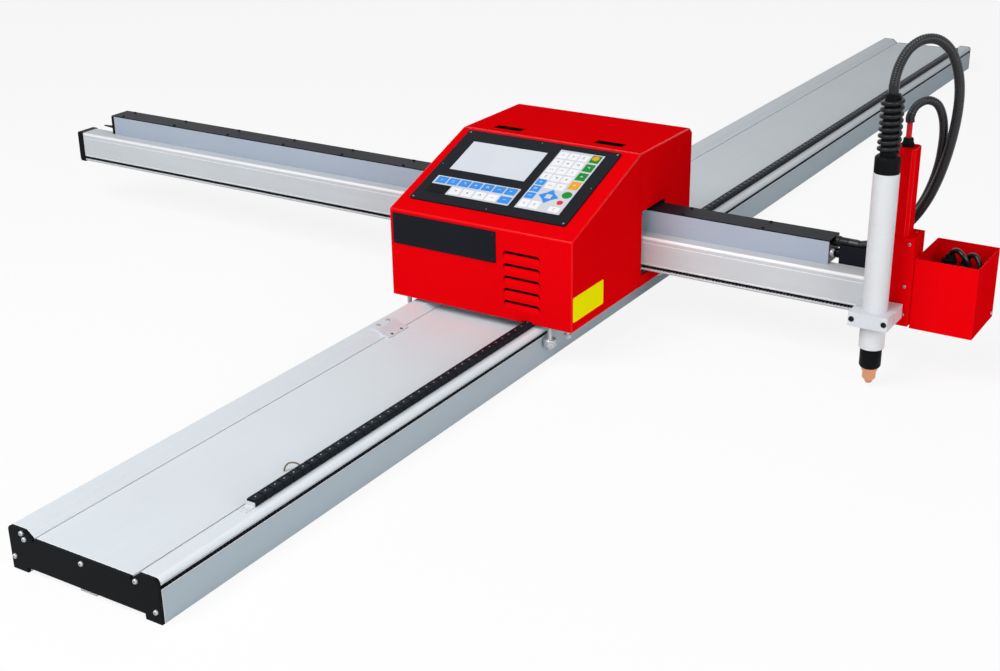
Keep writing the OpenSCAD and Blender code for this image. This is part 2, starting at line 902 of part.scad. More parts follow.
module roller_axles() {
    head_t = 0.9;
    inner = roller_x - roller_w / 2 - head_t - 0.2;
    color("gainsboro") {
        translate([0, host_y, 0])
            for (side = [0, 1], end = [0, 1])
                mirror([side, 0, 0])
                    mirror([0, end, 0]) {
                        translate([inner, roller_y[1], roller_z])
                            rotate([0, 90, 0])
                                cylinder(d = axle_d, h = bracket_x + bracket_t / 2 + 4 - inner);
                        translate([inner, roller_y[1], roller_z])
                            rotate([0, 90, 0])
                                cylinder(d = axle_d + 4, h = head_t);
                        translate([side_roller_x, side_roller_y[1],
                                   side_roller_z - side_roller_w / 2 - 2])
                            cylinder(d = axle_d, h = base_z + base_t - side_roller_z
                                     + side_roller_w / 2 + 2);
                        translate([side_roller_x, side_roller_y[1],
                                   side_roller_z - side_roller_w / 2 - 4])
                            cylinder(d = axle_d + 4, h = 2 + eps);
                    }
        for (y = side_roller_y)
            translate([jack_x, host_y + y, 0]) {
                translate([0, 0, jack_low])
                    cylinder(d = jack_d, h = base_z - jack_low);
                for (z = [jack_low + 2, base_z - jack_nut_h])
                    translate([0, 0, z])
                        cylinder(d = jack_nut_d, h = jack_nut_h, $fn = 6);
            }
        for (x = beam_roller_x)
            translate([x, beam_roller_y, beam_low_axis])
                rotate([90, 0, 0])
                    cylinder(d = low_axle_d, h = beam_roller_w + 14, center = true);
        for (x = beam_roller_top_x)
            translate([x, beam_front - roller_gap - post_t - 3, beam_top_axis])
                rotate([-90, 0, 0]) {
                    cylinder(d = axle_d, h = post_t + roller_gap + 3 + 23);
                    translate([0, 0, -2])
                        cylinder(d = axle_d + 4, h = 5);
                }
    }
}

module rail_roller(side, y) {
    color("#e8e8e6")
        translate([side * roller_x, host_y + y, roller_z])
            rotate([0, side * 90, 0])
                roller(roller_d, roller_w, bore_r);
}

module rail_roller_1() {
    rail_roller(-1, roller_y[0]);
}

module rail_roller_2() {
    rail_roller(-1, roller_y[1]);
}

module rail_roller_3() {
    rail_roller(1, roller_y[0]);
}

module rail_roller_4() {
    rail_roller(1, roller_y[1]);
}

module side_roller(side, y) {
    color("#e8e8e6")
        translate([side * side_roller_x, host_y + y, side_roller_z])
            roller(side_roller_d, side_roller_w, bore_r);
}

module side_roller_1() {
    side_roller(-1, side_roller_y[0]);
}

module side_roller_2() {
    side_roller(-1, side_roller_y[1]);
}

module side_roller_3() {
    side_roller(1, side_roller_y[0]);
}

module side_roller_4() {
    side_roller(1, side_roller_y[1]);
}

module stepper(w, h, shaft_bore) {
    difference() {
        union() {
            plate_box(w, w, 6, 4);
            translate([0, 0, 6])
                plate_box(w - 1, w - 1, h - 12, 8);
            translate([0, 0, h - 6])
                plate_box(w, w, 6, 4);
        }
        translate([0, 0, -1])
            cylinder(r = shaft_bore, h = 25);
        for (sx = [-1, 1], sy = [-1, 1])
            translate([sx * (w / 2 - 5), sy * (w / 2 - 5), -1])
                cylinder(d = 4.5, h = 8);
    }
}

module y_motor() {
    color("#2b2c2f")
        translate([y_pinion_x, host_y + y_pinion_y, base_top])
            stepper(motor_w, motor_h, motor_shaft_d / 2 + run_fit);
}

module x_motor() {
    color("#2b2c2f")
        translate([host_x, x_pinion_y, post_top + bridge_t])
            stepper(motor_w, motor_h, motor_shaft_d / 2 + run_fit);
}

// Teeth point at the rack with a gap of the rack between them
module pinion(face_h, hub_h, shaft_h, turn) {
    rotate(turn)
        linear_extrude(face_h)
            polygon(gear_points(pinion_teeth, gear_module));
    cylinder(d = 18, h = hub_h);
    cylinder(d = motor_shaft_d, h = shaft_h);
}

module y_pinion() {
    low = groove_z + (groove_h - rack_h) / 2;
    color("#8d9094")
        translate([y_pinion_x, host_y + y_pinion_y, low])
            pinion(rack_h, 16, base_top + 18 - low, 180);
}

module x_pinion() {
    low = beam_groove_z + (groove_h - rack_h) / 2;
    color("#8d9094")
        translate([host_x, x_pinion_y, low])
            pinion(rack_h, 16, post_top + bridge_t + 18 - low, 90);
}

module beam_guide() {
    post_y = beam_front - roller_gap - post_t;
    low_hole = low_axle_d / 2 + 0.02;
    color("#9a9ea3") {
        for (x = beam_roller_top_x)
            difference() {
                translate([x - 12, post_y, base_top])
                    cube([24, post_t, post_top - base_top]);
                translate([x, post_y - 1, beam_top_axis])
                    rotate([-90, 0, 0])
                        cylinder(r = axle_d / 2 + 0.02, h = post_t + 2);
            }
        difference() {
            translate([beam_roller_top_x[0] - 12, x_pinion_y - motor_w / 2 - 2, post_top])
                cube([beam_roller_top_x[1] - beam_roller_top_x[0] + 24,
                      post_y + post_t - x_pinion_y + motor_w / 2 + 2, bridge_t]);
            translate([host_x, x_pinion_y, post_top - 1])
                cylinder(d = motor_shaft_d + 4, h = bridge_t + 2);
        }
        translate([-140 + host_x, beam_back + roller_gap, base_top])
            cube([280, bridge_t, beam_top - 4 - base_top]);
        translate([-140 + host_x, beam_back + roller_gap + bridge_t - eps, base_top])
            cube([280, 16, 4]);
        for (x = beam_roller_x, dy = [-1, 1])
            difference() {
                translate([x - 6, beam_roller_y + dy * (beam_roller_w / 2 + 5) - 2.5, base_top])
                    cube([12, 5, beam_z - 2 - base_top]);
                translate([x, beam_roller_y - 30, beam_low_axis])
                    rotate([-90, 0, 0])
                        cylinder(r = low_hole, h = 60);
            }
    }
}

module beam_roller_low(x) {
    color("#e8e8e6")
        translate([x, beam_roller_y, beam_low_axis])
            rotate([90, 0, 0])
                roller(beam_roller_d, beam_roller_w, low_axle_d / 2 + run_fit);
}

module beam_roller_high(x) {
    color("#e8e8e6")
        translate([x, beam_roller_y - 2, beam_top_axis])
            rotate([90, 0, 0])
                roller(beam_roller_d, beam_roller_w, bore_r);
}

module beam_roller_1() {
    beam_roller_low(beam_roller_x[0]);
}

module beam_roller_2() {
    beam_roller_low(beam_roller_x[1]);
}

module beam_roller_3() {
    beam_roller_high(beam_roller_top_x[0]);
}

module beam_roller_4() {
    beam_roller_high(beam_roller_top_x[1]);
}

module power_supply() {
    w = 150;
    l = 90;
    h = 44;
    color("#a7abb0")
        at_host()
            translate([-host_w / 2 + 12, 121, base_top])
                difference() {
                    cube([w, l, h]);
                    for (i = [0 : 9])
                        translate([20 + i * 12, -1, h - 3])
                            cube([6, l + 2, 4]);
                }
}

module motor_drivers() {
    w = 36;
    color("#33363b")
        at_host()
            for (k = [0 : 1])
                translate([-host_w / 2 + 14 + k * (w + 14), front_y + 16, base_top]) {
                    cube([w, 110, 90]);
                    for (i = [0 : 5])
                        translate([w - eps, 6 + i * 18, 4])
                            cube([8, 6, 82]);
                }
}

module controller_board() {
    w = 290;
    l = 160;
    color("#1f6b3a")
        at_host()
            on_slope(bezel_x, bezel_up + bezel_l / 2) {
                translate([-w / 2, -l / 2, -16])
                    cube([w, l, 2]);
                for (sx = [-1, 1], sy = [-1, 1])
                    translate([sx * (w / 2 - 8), sy * (l / 2 - 8), -14 - eps])
                        cylinder(d = 7, h = 14 + eps);
                translate([10, -l / 2 + 14, -24])
                    cube([90, 60, 8 + eps]);
            }
}

module rear_sockets() {
    face = -front_y;
    color("#1b1c1f")
        at_host() {
            translate([90, face - sheet_t, 160])
                rotate([-90, 0, 0]) {
                    translate([0, 0, sheet_t])
                        plate_box(112, 72, 2.5, 4);
                    for (x = [-32, 0, 32])
                        translate([x, 12, sheet_t + 2.5 - eps])
                            difference() {
                                cylinder(d = 22, h = 10);
                                translate([0, 0, 3])
                                    cylinder(d = 16, h = 10);
                            }
                    translate([-24, -22, sheet_t + 2.5 - eps])
                        plate_box(28, 20, 5, 3);
                    translate([28, -22, sheet_t + 2.5 - eps])
                        cylinder(d = 14, h = 9);
                }
        }
}

// Beam

module beam_outline() {
    r = 4;
    difference() {
        union() {
            translate([r, 0])
                square([beam_d - 2 * r, beam_h]);
            translate([0, r])
                square([beam_d, beam_h - 2 * r]);
            for (x = [r, beam_d - r], z = [r, beam_h - r])
                translate([x, z])
                    circle(r);
        }
        translate([-1, beam_groove_z - beam_z])
            square([groove_depth + 1, groove_h]);
        translate([-1, beam_groove_z - beam_z + groove_h + 2.5])
            square([2, 1.6]);
        translate([-1, beam_h - 11.5])
            square([1.6, 1]);
        translate([groove_depth + 4, 3])
            square([beam_d - groove_depth - 7, beam_h / 2 - 4.5]);
        translate([3.5, beam_h / 2 + 1.5])
            square([beam_d - 7, beam_h / 2 - 5]);
        translate([beam_d - 6, beam_h / 2 - 4])
            square([7, 8]);
    }
}

module along_beam(left, right) {
    translate([left, beam_front, beam_z])
        rotate([90, 0, 90])
            linear_extrude(right - left)
                children();
}

module beam_extrusion() {
    color("#d6dade")
        along_beam(beam_left + 4, beam_right - 4)
            beam_outline();
}

module beam_end_caps() {
    color("#17181b") {
        for (x = [beam_left, beam_right - 4])
            along_beam(x, x + 4)
                translate([beam_d / 2, beam_h / 2])
                    rounded(beam_d, beam_h, 4);
        translate([beam_left, beam_front + beam_d / 2, beam_z + beam_h / 2])
            rotate([0, -90, 0])
                pan_screw(9, 3);
    }
}

module x_rack() {
    span = x_rack_teeth * tooth_pitch;
    middle = (beam_left + beam_right) / 2;
    pitch_y = beam_front + rack_inset + gear_module;
    back = beam_front + groove_depth;
    phase = middle + tooth_phase(host_x - middle, span);
    color("dimgray")
        translate([phase, 0, beam_groove_z + (groove_h - rack_h) / 2])
            linear_extrude(rack_h)
                for (i = [0 : x_rack_pieces - 1])
                    translate([span / 2 - i * span / x_rack_pieces, pitch_y])
                        rotate(180)
                            polygon(rack_points(x_rack_teeth / x_rack_pieces, gear_module,
                                                backlash, back - pitch_y));
}

module cable_duct() {
    t = duct_wall;
    color("#c9ced3")
        translate([duct_left, duct_front, beam_top])
            rotate([90, 0, 90])
                linear_extrude(duct_l)
                    difference() {
                        square([duct_d, duct_h - t]);
                        translate([t, t])
                            square([duct_d - 2 * t, duct_h]);
                    }
}

module duct_lid() {
    t = duct_wall;
    screw_step = 150;
    n = floor((duct_l - 60) / screw_step);
    color("#1a1b1e")
        translate([duct_left, duct_front, duct_top - t]) {
            cube([duct_l, duct_d, t]);
            for (side = [t + eps, duct_d - 2 * t - eps])
                translate([2, side, -5])
                    cube([duct_l - 4, t, 5 + eps]);
        }
    color("gainsboro")
        for (i = [0 : n], y = [6, duct_d - 6])
            translate([duct_left + 30 + i * screw_step, duct_front + y, duct_top])
                pan_screw(6, 2);
}

module duct_glands() {
    inner_w = duct_d - 2 * duct_wall - 0.2;
    inner_h = duct_h - 2 * duct_wall - 6;
    color("#141517") {
        for (x = [duct_left, duct_right - 6])
            translate([x, duct_front + duct_wall + 0.1, beam_top + duct_wall])
                cube([6, inner_w, inner_h]);
        translate([duct_left - 8, duct_front + 10, beam_top + 6])
            cube([8 + eps, 12, 18]);
        translate([duct_left - 6, duct_front + 26, beam_top + 4])
            cube([6 + eps, 14, 22]);
        translate([duct_left, duct_front + 20, beam_top + 9])
            rotate([0, -90, 0])
                cylinder(d1 = 9, d2 = 3, h = 46);
        gland_sleeve(torch_route[len(torch_route) - 1], hose_d);
        gland_sleeve(motor_route[len(motor_route) - 1], motor_hose_d);
    }
    color("gainsboro")
        translate([duct_right, duct_front + 12, beam_top + 18])
            rotate([0, 90, 0])
                pan_screw(14, 6);
}

module gland_sleeve(end, d) {
    translate([duct_right - eps, end[1], end[2]])
        rotate([0, 90, 0]) {
            cylinder(d = d + 3, h = 8);
            cylinder(d1 = d + 1, d2 = d, h = end[0] - duct_right - seat_gap);
        }
}

// Lifter

module backing_plate() {
    left = duct_right + 12;
    color("#191a1d")
        difference() {
            translate([left, beam_back, beam_z - 2])
                cube([lifter_right - left, plate_t, 96]);
            for (x = [left + 14, left + 50])
                translate([x, beam_back - 1, beam_z + beam_h / 2])
                    rotate([-90, 0, 0])
                        cylinder(d = 6.5, h = plate_t + 2);
        }
    color("gainsboro")
        for (x = [left + 14, left + 50])
            translate([x, beam_back + plate_t, beam_z + beam_h / 2])
                rotate([-90, 0, 0])
                    pan_screw(12, 5);
}

module lifter_housing() {
    t = 2;
    depth = lifter_back - lifter_front;
    slot_front = channel_front + 2;
    color("#d40a10")
        difference() {
            translate([lifter_left, lifter_front, lifter_z])
                cube([lifter_w, depth, lifter_h]);
            translate([lifter_left + t, lifter_front + t, lifter_z - 1])
                cube([lifter_w - 2 * t, depth - 2 * t, lifter_h - t + 1]);
            translate([lifter_left - 1, slot_front, lifter_z - 1])
                cube([t + 2, 14, channel_z + tongue_h + 16 - lifter_z]);
            translate([screw_x, screw_y, lifter_top - t - 1])
                cylinder(r = screw_d / 2 + run_fit, h = t + 2);
            for (x = rod_x)
                translate([x, rod_y, lifter_top - t - 1])
                    cylinder(r = rod_d / 2 + 0.02, h = t + 2);
        }
    color("gainsboro")
        for (p = [[lifter_right - 8, lifter_top - 10], [lifter_right - 10, lifter_z + 68],
                  [lifter_right - 16, lifter_z + 30], [lifter_right - 9, lifter_z + 20]])
            translate([p[0], lifter_front, p[1]])
                rotate([90, 0, 0])
                    pan_screw(5, 2);
}

module motor_cover() {
    w = motor_cover_w;
    t = 2;
    h = motor_cover_h;
    color("#d40a10")
        translate([motor_x, motor_y, lifter_top])
            difference() {
                linear_extrude(h)
                    chamfered(w, 5);
                translate([0, 0, -1])
                    linear_extrude(h - t + 1)
                        chamfered(w - 2 * t, 4);
                translate([0, 0, h - t - 1])
                    cylinder(d = 14, h = t + 2);
            }
}

module chamfered(w, c) {
    a = w / 2;
    polygon([[-a + c, -a], [a - c, -a], [a, -a + c], [a, a - c], [a - c, a], [-a + c, a],
             [-a, a - c], [-a, -a + c]]);
}

module lifter_guides() {
    rod_low = lifter_z + 4;
    color("#2b2c2f")
        translate([motor_x, motor_y, lifter_top])
            difference() {
                plate_box(30, 30, 46, 5);
                translate([screw_x - motor_x, screw_y - motor_y, -1])
                    cylinder(r = screw_d / 2 + run_fit, h = 26);
            }
    color("gainsboro")
        for (x = rod_x)
            translate([x, rod_y, rod_low])
                cylinder(d = rod_d, h = lifter_top - rod_low);
    color("#9a9ea3")
        translate([lifter_left + 2.2, rod_y - 6, rod_low - 2])
            difference() {
                cube([lifter_w - 4.4, 16, 5]);
                for (x = rod_x)
                    translate([x - lifter_left - 2.2, 6, 2])
                        cylinder(r = rod_d / 2 + 0.02, h = 5);
            }
    color("#141517")
        translate([motor_x, motor_y, motor_cover_top])
            difference() {
                union() {
                    cylinder(d = 20, h = 6, $fn = 6);
                    translate([0, 0, -10])
                        cylinder(d = 13.6, h = 12);
                    cylinder(d1 = 17, d2 = 13, h = gland_h);
                }
                translate([0, 0, -11])
                    cylinder(d = red_cable_d + 0.04, h = gland_h + 12);
            }
    color("#cc1218")
        translate([motor_x, motor_y, motor_cover_top - 8])
            cylinder(d = red_cable_d, h = 8 + gland_h + red_cable_h);
}

module lead_screw() {
    low = lifter_z + 8;
    color("#c8ccd0")
        translate([screw_x, screw_y, low])
            cylinder(d = screw_d, h = lifter_top + 22 - low);
}

module cable_box() {
    t = box_wall;
    color("#d40a10")
        difference() {
            translate([box_x, box_y, box_z])
                cube([box_w, box_d, box_h]);
            translate([box_x + t, box_y + t, box_z + t])
                cube([box_w - 2 * t, box_d - 2 * t, box_h]);
        }
    color("#b8090d")
        translate([lifter_right, box_y + 4, box_z + 12])
            cube([box_x - lifter_right, 36, box_h - 30]);
    color("gainsboro")
        translate([box_x + box_w, box_y + box_d - 12, box_z + 10])
            rotate([0, 90, 0])
                pan_screw(5, 2);
}

module box_connectors() {
    color("#141517")
        for (p = [[26, 92, -14], [62, 66, 24]])
            translate([box_x + p[0], box_y + p[1], box_z + box_wall])
                rotate([0, 0, p[2]]) {
                    cylinder(d = 9, h = 58);
                    translate([0, 0, 52])
                        cylinder(d = 20, h = 14, $fn = 16);
                    translate([0, 0, 66 - eps])
                        cylinder(d = 16, h = 20);
                    translate([0, 0, 86 - 2 * eps])
                        cylinder(d = 19, h = 8, $fn = 16);
                }
}

// Slide with the torch

module slide_carriage() {
    t = 3;
    left = lifter_left + 3;
    nut_z = channel_z + channel_h - nut_h - 1;
    back = channel_front + channel_d;
    color("#d4d8dc") {
        difference() {
            union() {
                translate([left, channel_front, channel_z])
                    difference() {
                        cube([channel_w, channel_d, channel_h]);
                        translate([t, -1, -1])
                            cube([channel_w - 2 * t, channel_d - t + 1, channel_h + 2]);
                    }
                translate([left + t - eps, channel_front + 2, nut_z])
                    cube([channel_w - 2 * t + 2 * eps, channel_d - t - 2 + eps, nut_h]);
                translate([left, back - eps, channel_z + channel_h - 20])
                    cube([lifter_w - 6, rod_y + 7 - back, 18]);
            }
            translate([screw_x, screw_y, channel_z])
                cylinder(r = screw_d / 2 + run_fit, h = channel_h + 2);
            for (x = rod_x)
                translate([x, rod_y, channel_z])
                    cylinder(r = rod_d / 2 + run_fit, h = channel_h + 2);
        }
        translate([left + channel_w - 5.5, back - t, channel_z + 26])
            rotate([90, 0, 0])
                cylinder(d = 8, h = 2.5);
        translate([arm_right - eps, channel_front + 4, channel_z + 4])
            cube([left - arm_right + 2 * eps, 10, tongue_h]);
    }
    color("#2a2b2e")
        translate([arm_left, clamp_back, clamp_z])
            cube([arm_right - arm_left, lifter_back - 8 - clamp_back, arm_h]);
}

module torch_clamp() {
    r = torch_r + 0.05;
    color("#c3c7cb")
        difference() {
            union() {
                translate([torch_x - clamp_half_w, clamp_front, clamp_z])
                    cube([2 * clamp_half_w, torch_y - clamp_split / 2 - clamp_front, clamp_h]);
                translate([torch_x - clamp_half_w, torch_y + clamp_split / 2, clamp_z])
                    cube([2 * clamp_half_w, clamp_back - torch_y - clamp_split / 2, clamp_h]);
            }
            translate([torch_x, torch_y, clamp_z - 1])
                cylinder(r = r, h = clamp_h + 2);
            for (sx = [-1, 1])
                translate([torch_x + sx * (clamp_half_w - 6), clamp_front - 1,
                           clamp_z + clamp_h / 2])
                    rotate([-90, 0, 0]) {
                        cylinder(r = 2.55, h = clamp_back - clamp_front - 6);
                        cylinder(r = 4.8, h = 6);
                    }
        }
}

module clamp_screws() {
    color("#26272a")
        for (sx = [-1, 1])
            translate([torch_x + sx * (clamp_half_w - 6), clamp_front + 5, clamp_z + clamp_h / 2])
                rotate([-90, 0, 0]) {
                    cylinder(r = 2.5, h = clamp_back - clamp_front - 14);
                    translate([0, 0, -5.5])
                        difference() {
                            cylinder(r = 4.5, h = 5.5);
                            translate([0, 0, -1])
                                cylinder(r = 2.4, h = 4, $fn = 6);
                        }
                }
}

module at_torch(z) {
    translate([torch_x, torch_y, z])
        children();
}

module torch_tube() {
    color("#e2e5e8")
        at_torch(tube_z)
            difference() {
                cylinder(r = torch_r, h = torch_l);
                translate([0, 0, -1])
                    cylinder(r = torch_r - torch_wall, h = torch_l + 2);
            }
    color("#1b1b1d")
        at_torch(nose_z)
            rotate_extrude()
                polygon([[6, 0], [torch_r - 6, 0], [torch_r - 3, 4], [torch_r - 3, nose_h],
                         [torch_r - torch_wall, nose_h], [torch_r - torch_wall, nose_h + 12],
                         [6, nose_h + 12]]);
    color("#b5713a")
        at_torch(tip_z)
            rotate_extrude()
                polygon([[1.2, 0], [5, 0], [9, 7], [11, 9], [11, nozzle_h - 5],
                         [13, nozzle_h - 5], [13, nozzle_h], [1.2, nozzle_h]]);
}

module torch_boot() {
    core_r = coil_r - coil_wire / 2 + 0.6;
    color("#151618") {
        at_torch(tube_top)
            rotate_extrude()
                polygon([[4, -12], [torch_r - torch_wall - 0.05, -12],
                         [torch_r - torch_wall - 0.05, 0], [torch_r - 0.5, 0],
                         [torch_r - 0.5, collar_h - 3], [torch_r - 3.5, collar_h],
                         [core_r, collar_h], [core_r - 1, collar_h + boot_h - seat_gap],
                         [hose_d / 2 - 3, collar_h + boot_h - seat_gap], [4, collar_h]]);
        boot_coil();
    }
}

function coil_ring(a, r, rise, wire, sides) = let(
        c = [r * cos(a), r * sin(a), rise * a / 360],
        out = [cos(a), sin(a), 0],
        dir = [-r * sin(a), r * cos(a), rise / 2 / PI],
        up = cross(out, dir) / norm(dir))
    [for (k = [0 : sides - 1]) c + wire / 2 * (cos(k * 360 / sides) * out
                                               - sin(k * 360 / sides) * up)];

module boot_coil() {
    steps = floor(boot_turns * coil_steps);
    at_torch(collar_top + 5)
        ring_skin([for (i = [0 : steps])
            coil_ring(i * 360 / coil_steps, coil_r, coil_pitch, coil_wire, 6)], false);
}

module torch_hose() {
    color("#17181a")
        ribbed_hose(torch_route, [0.62, -0.78, 0], hose_d, hose_d - 6, 84, 8);
}

module motor_hose() {
    color("#17181a")
        ribbed_hose(motor_route, [0.62, -0.78, 0], motor_hose_d, motor_hose_d - 5, 60, 8);
}

rail_extrusion();
rail_end_caps();
rail_cap_screws();
y_rack();
drag_chain();
chain_bracket();
splice_plate();
base_plate();
front_cover();
rear_cover();
panel_bezel();
screen();
right_keypad();
lower_keypad();
name_plate();
side_patch();
cover_screws();
wheel_brackets();
roller_axles();
y_motor();
x_motor();
beam_guide();
power_supply();
motor_drivers();
controller_board();
rear_sockets();
rail_roller_1();
rail_roller_2();
rail_roller_3();
rail_roller_4();
side_roller_1();
side_roller_2();
side_roller_3();
side_roller_4();
y_pinion();
x_pinion();
beam_roller_1();
beam_roller_2();
beam_roller_3();
beam_roller_4();
beam_extrusion();
beam_end_caps();
x_rack();
cable_duct();
duct_lid();
duct_glands();
backing_plate();
lifter_housing();
motor_cover();
lifter_guides();
cable_box();
box_connectors();
lead_screw();
slide_carriage();
torch_clamp();
clamp_screws();
torch_tube();
torch_boot();
torch_hose();
motor_hose();
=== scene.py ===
"""Portable CNC plasma cutter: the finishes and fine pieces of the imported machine."""
import logging
import math
from dataclasses import dataclass, field
from enum import Enum
from typing import Iterable, Sequence

import bmesh
import bpy
from mathutils import Matrix, Vector


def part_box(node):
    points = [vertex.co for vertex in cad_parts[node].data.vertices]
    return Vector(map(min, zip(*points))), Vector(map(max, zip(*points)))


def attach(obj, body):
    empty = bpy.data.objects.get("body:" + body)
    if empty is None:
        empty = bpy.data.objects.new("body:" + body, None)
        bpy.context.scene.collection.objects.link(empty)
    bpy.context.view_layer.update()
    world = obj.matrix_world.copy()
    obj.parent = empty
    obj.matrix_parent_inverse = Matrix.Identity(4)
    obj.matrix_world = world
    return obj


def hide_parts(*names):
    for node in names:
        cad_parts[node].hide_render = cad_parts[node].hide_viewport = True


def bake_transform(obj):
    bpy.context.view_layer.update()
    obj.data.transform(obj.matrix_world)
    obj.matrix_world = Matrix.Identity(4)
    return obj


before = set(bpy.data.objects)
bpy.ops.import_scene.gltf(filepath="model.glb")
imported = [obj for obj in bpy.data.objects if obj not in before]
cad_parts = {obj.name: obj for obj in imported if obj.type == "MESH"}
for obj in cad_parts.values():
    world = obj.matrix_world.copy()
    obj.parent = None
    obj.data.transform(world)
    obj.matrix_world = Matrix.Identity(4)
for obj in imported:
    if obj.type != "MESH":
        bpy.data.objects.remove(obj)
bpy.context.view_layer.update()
log = logging.getLogger("cutter")
MM = 0.001
NO_TURN = Matrix.Identity(4)


class Axis(Enum):
    """The directions that a turned part can point in, as the turn that brings +Z there."""

    X = Matrix.Rotation(math.radians(90), 4, "Y")
    Y = Matrix.Rotation(math.radians(-90), 4, "X")
    Z = Matrix.Identity(4)
    MINUS_X = Matrix.Rotation(math.radians(-90), 4, "Y")
    MINUS_Y = Matrix.Rotation(math.radians(90), 4, "X")


def mm(*values: float) -> Vector:
    """A point or size given in millimetres, in metres."""
    return Vector([value * MM for value in values])


def box_mm(node: str) -> tuple[Vector, Vector]:
    """The box of a CAD node at rest.

    Args:
        node: the node's name.

    Returns:
        Its lowest and highest corner in millimetres, to a hundredth.
    """
    low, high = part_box(node)
    return (Vector([round(value / MM, 2) for value in low]),
            Vector([round(value / MM, 2) for value in high]))


# Shader expressions


class Sock:
    """A shader socket that takes part in Python arithmetic."""

    def __init__(self, graph: "Graph", socket: bpy.types.NodeSocket) -> None:
        """Wraps a socket.

        Args:
            graph: the nodes that the socket is among.
            socket: an output socket.
        """
        self.graph = graph
        self.socket = socket

    def _math(self, operation: str, a: object, b: object) -> "Sock":
        """Adds one Math node.

        Args:
            operation: the node's operation.
            a: its first value or socket.
            b: its second value or socket.

        Returns:
            The node's result.
        """
        return self.graph.node("ShaderNodeMath", {"operation": operation}, {0: a, 1: b})

    def __add__(self, other: object) -> "Sock":
        """self + other."""
        return self._math("ADD", self, other)

    def __sub__(self, other: object) -> "Sock":
        """self - other."""
        return self._math("SUBTRACT", self, other)

    def __mul__(self, other: object) -> "Sock":
        """self * other."""
        return self._math("MULTIPLY", self, other)

    def __gt__(self, other: object) -> "Sock":
        """1 where self is above other."""
        return self._math("GREATER_THAN", self, other)

    def __lt__(self, other: object) -> "Sock":
        """1 where self is below other."""
        return self._math("LESS_THAN", self, other)

    def clamped(self) -> "Sock":
        """self kept within 0 and 1."""
        return self._math("MAXIMUM", self._math("MINIMUM", self, 1.0), 0.0)

    def part(self, index: int) -> "Sock":
        """One coordinate of a vector."""
        return self.graph.node("ShaderNodeSeparateXYZ", {}, {0: self}, out=index)


class Graph:
    """A node tree and the short words that build it."""

    def __init__(self, tree: bpy.types.NodeTree) -> None:
        """Wraps a tree.

        Args:
            tree: the node tree.
        """
        self.tree = tree

    def node(self, kind: str, settings: dict, inputs: dict, out: object = 0) -> Sock:
        """Adds a node.

        Args:
            kind: the node's type.
            settings: its own settings, set first.
            inputs: values or sockets by input name or index.
            out: the output to return.

        Returns:
            The chosen output.
        """
        made = self.tree.nodes.new(kind)
        for key, value in settings.items():
            setattr(made, key, value)
        for key, value in inputs.items():
            self.feed(made.inputs[key], value)
        return Sock(self, made.outputs[out])

    def feed(self, socket: bpy.types.NodeSocket, value: object) -> None:
        """Links or sets an input.

        Args:
            socket: the input.
            value: a Sock, a colour, a vector or a number.
        """
        if isinstance(value, Sock):
            self.tree.links.new(value.socket, socket)
        elif isinstance(value, (tuple, list)) and socket.type == "RGBA" and len(value) == 3:
            socket.default_value = (*value, 1.0)
        else:
            socket.default_value = value

    def mix(self, factor: object, low: object, high: object) -> Sock:
        """Mixes two colours.

        Args:
            factor: 0 for low, 1 for high.
            low: a colour or socket.
            high: a colour or socket.

        Returns:
            The mixed colour.
        """
        return self.node("ShaderNodeMix", {"data_type": "RGBA"}, {0: factor, 6: low, 7: high},
                         out=2)

    def seen(self) -> Sock:
        """1 on the rays of the camera, of reflections and of glass, and 0 on other light."""
        camera, glossy, through = (
            self.node("ShaderNodeLightPath", {}, {}, out=f"Is {ray} Ray")
            for ray in ("Camera", "Glossy", "Transmission"))
        return (camera + glossy + through).clamped()


class Shader(Graph):
    """One material with a Principled shader."""

    def __init__(self, name: str) -> None:
        """Starts an empty material.

        Args:
            name: the material's name.
        """
        self.material = bpy.data.materials.new(name)
        self.material.use_nodes = True
        super().__init__(self.material.node_tree)
        self.surface = self.tree.nodes["Principled BSDF"]

    def place(self, scale: Sequence[float] = (1, 1, 1)) -> Sock:
        """Object coordinates, stretched.

        Args:
            scale: how much finer the pattern is along each axis.

        Returns:
            The stretched coordinates.
        """
        coordinates = self.node("ShaderNodeTexCoord", {}, {}, out="Object")
        return self.node("ShaderNodeMapping", {}, {"Vector": coordinates, "Scale": scale})

    def noise(self, scale: Sequence[float], detail: float) -> Sock:
        """Smooth noise.

        Args:
            scale: waves to the metre along each axis.
            detail: octaves.

        Returns:
            The noise, about 0.5 in the middle.
        """
        return self.node("ShaderNodeTexNoise", {}, {"Vector": self.place(scale), "Scale": 1.0,
                                                     "Detail": detail})

    def bump(self, height: Sock, distance: float, strength: float) -> None:
        """Feeds Normal with a bump.

        Args:
            height: the relief.
            distance: its depth in metres.
            strength: how much of it counts.
        """
        self.feed(self.surface.inputs["Normal"], self.node(
            "ShaderNodeBump", {}, {"Height": height, "Distance": distance,
                                   "Strength": strength}))

    def set(self, **values: object) -> None:
        """Sets the shader's sockets.

        Args:
            values: a value or socket by input name, with underscores for its spaces.
        """
        for key, value in values.items():
            self.feed(self.surface.inputs[key.replace("_", " ")], value)


Colour = tuple[float, float, float]


@dataclass(frozen=True)
class PaintFinish:
    """Powder coat over sheet metal, with a faint orange peel."""

    name: str
    colour: Colour
    deep: Colour
    rough: float = 0.34
    shine: float = 0.0

    def make(self) -> bpy.types.Material:
        """The material."""
        shader = Shader(self.name)
        cloud = shader.noise((9, 9, 9), 2)
        peel = shader.noise((700, 700, 700), 2)
        tone = shader.mix(cloud, self.deep, self.colour)
        shader.set(Base_Color=tone, Metallic=0.0, Specular_IOR_Level=self.shine,
                   Roughness=cloud * 0.12 + (self.rough - 0.06))
        shader.bump(peel, 0.00012, 0.5)
        return shader.material


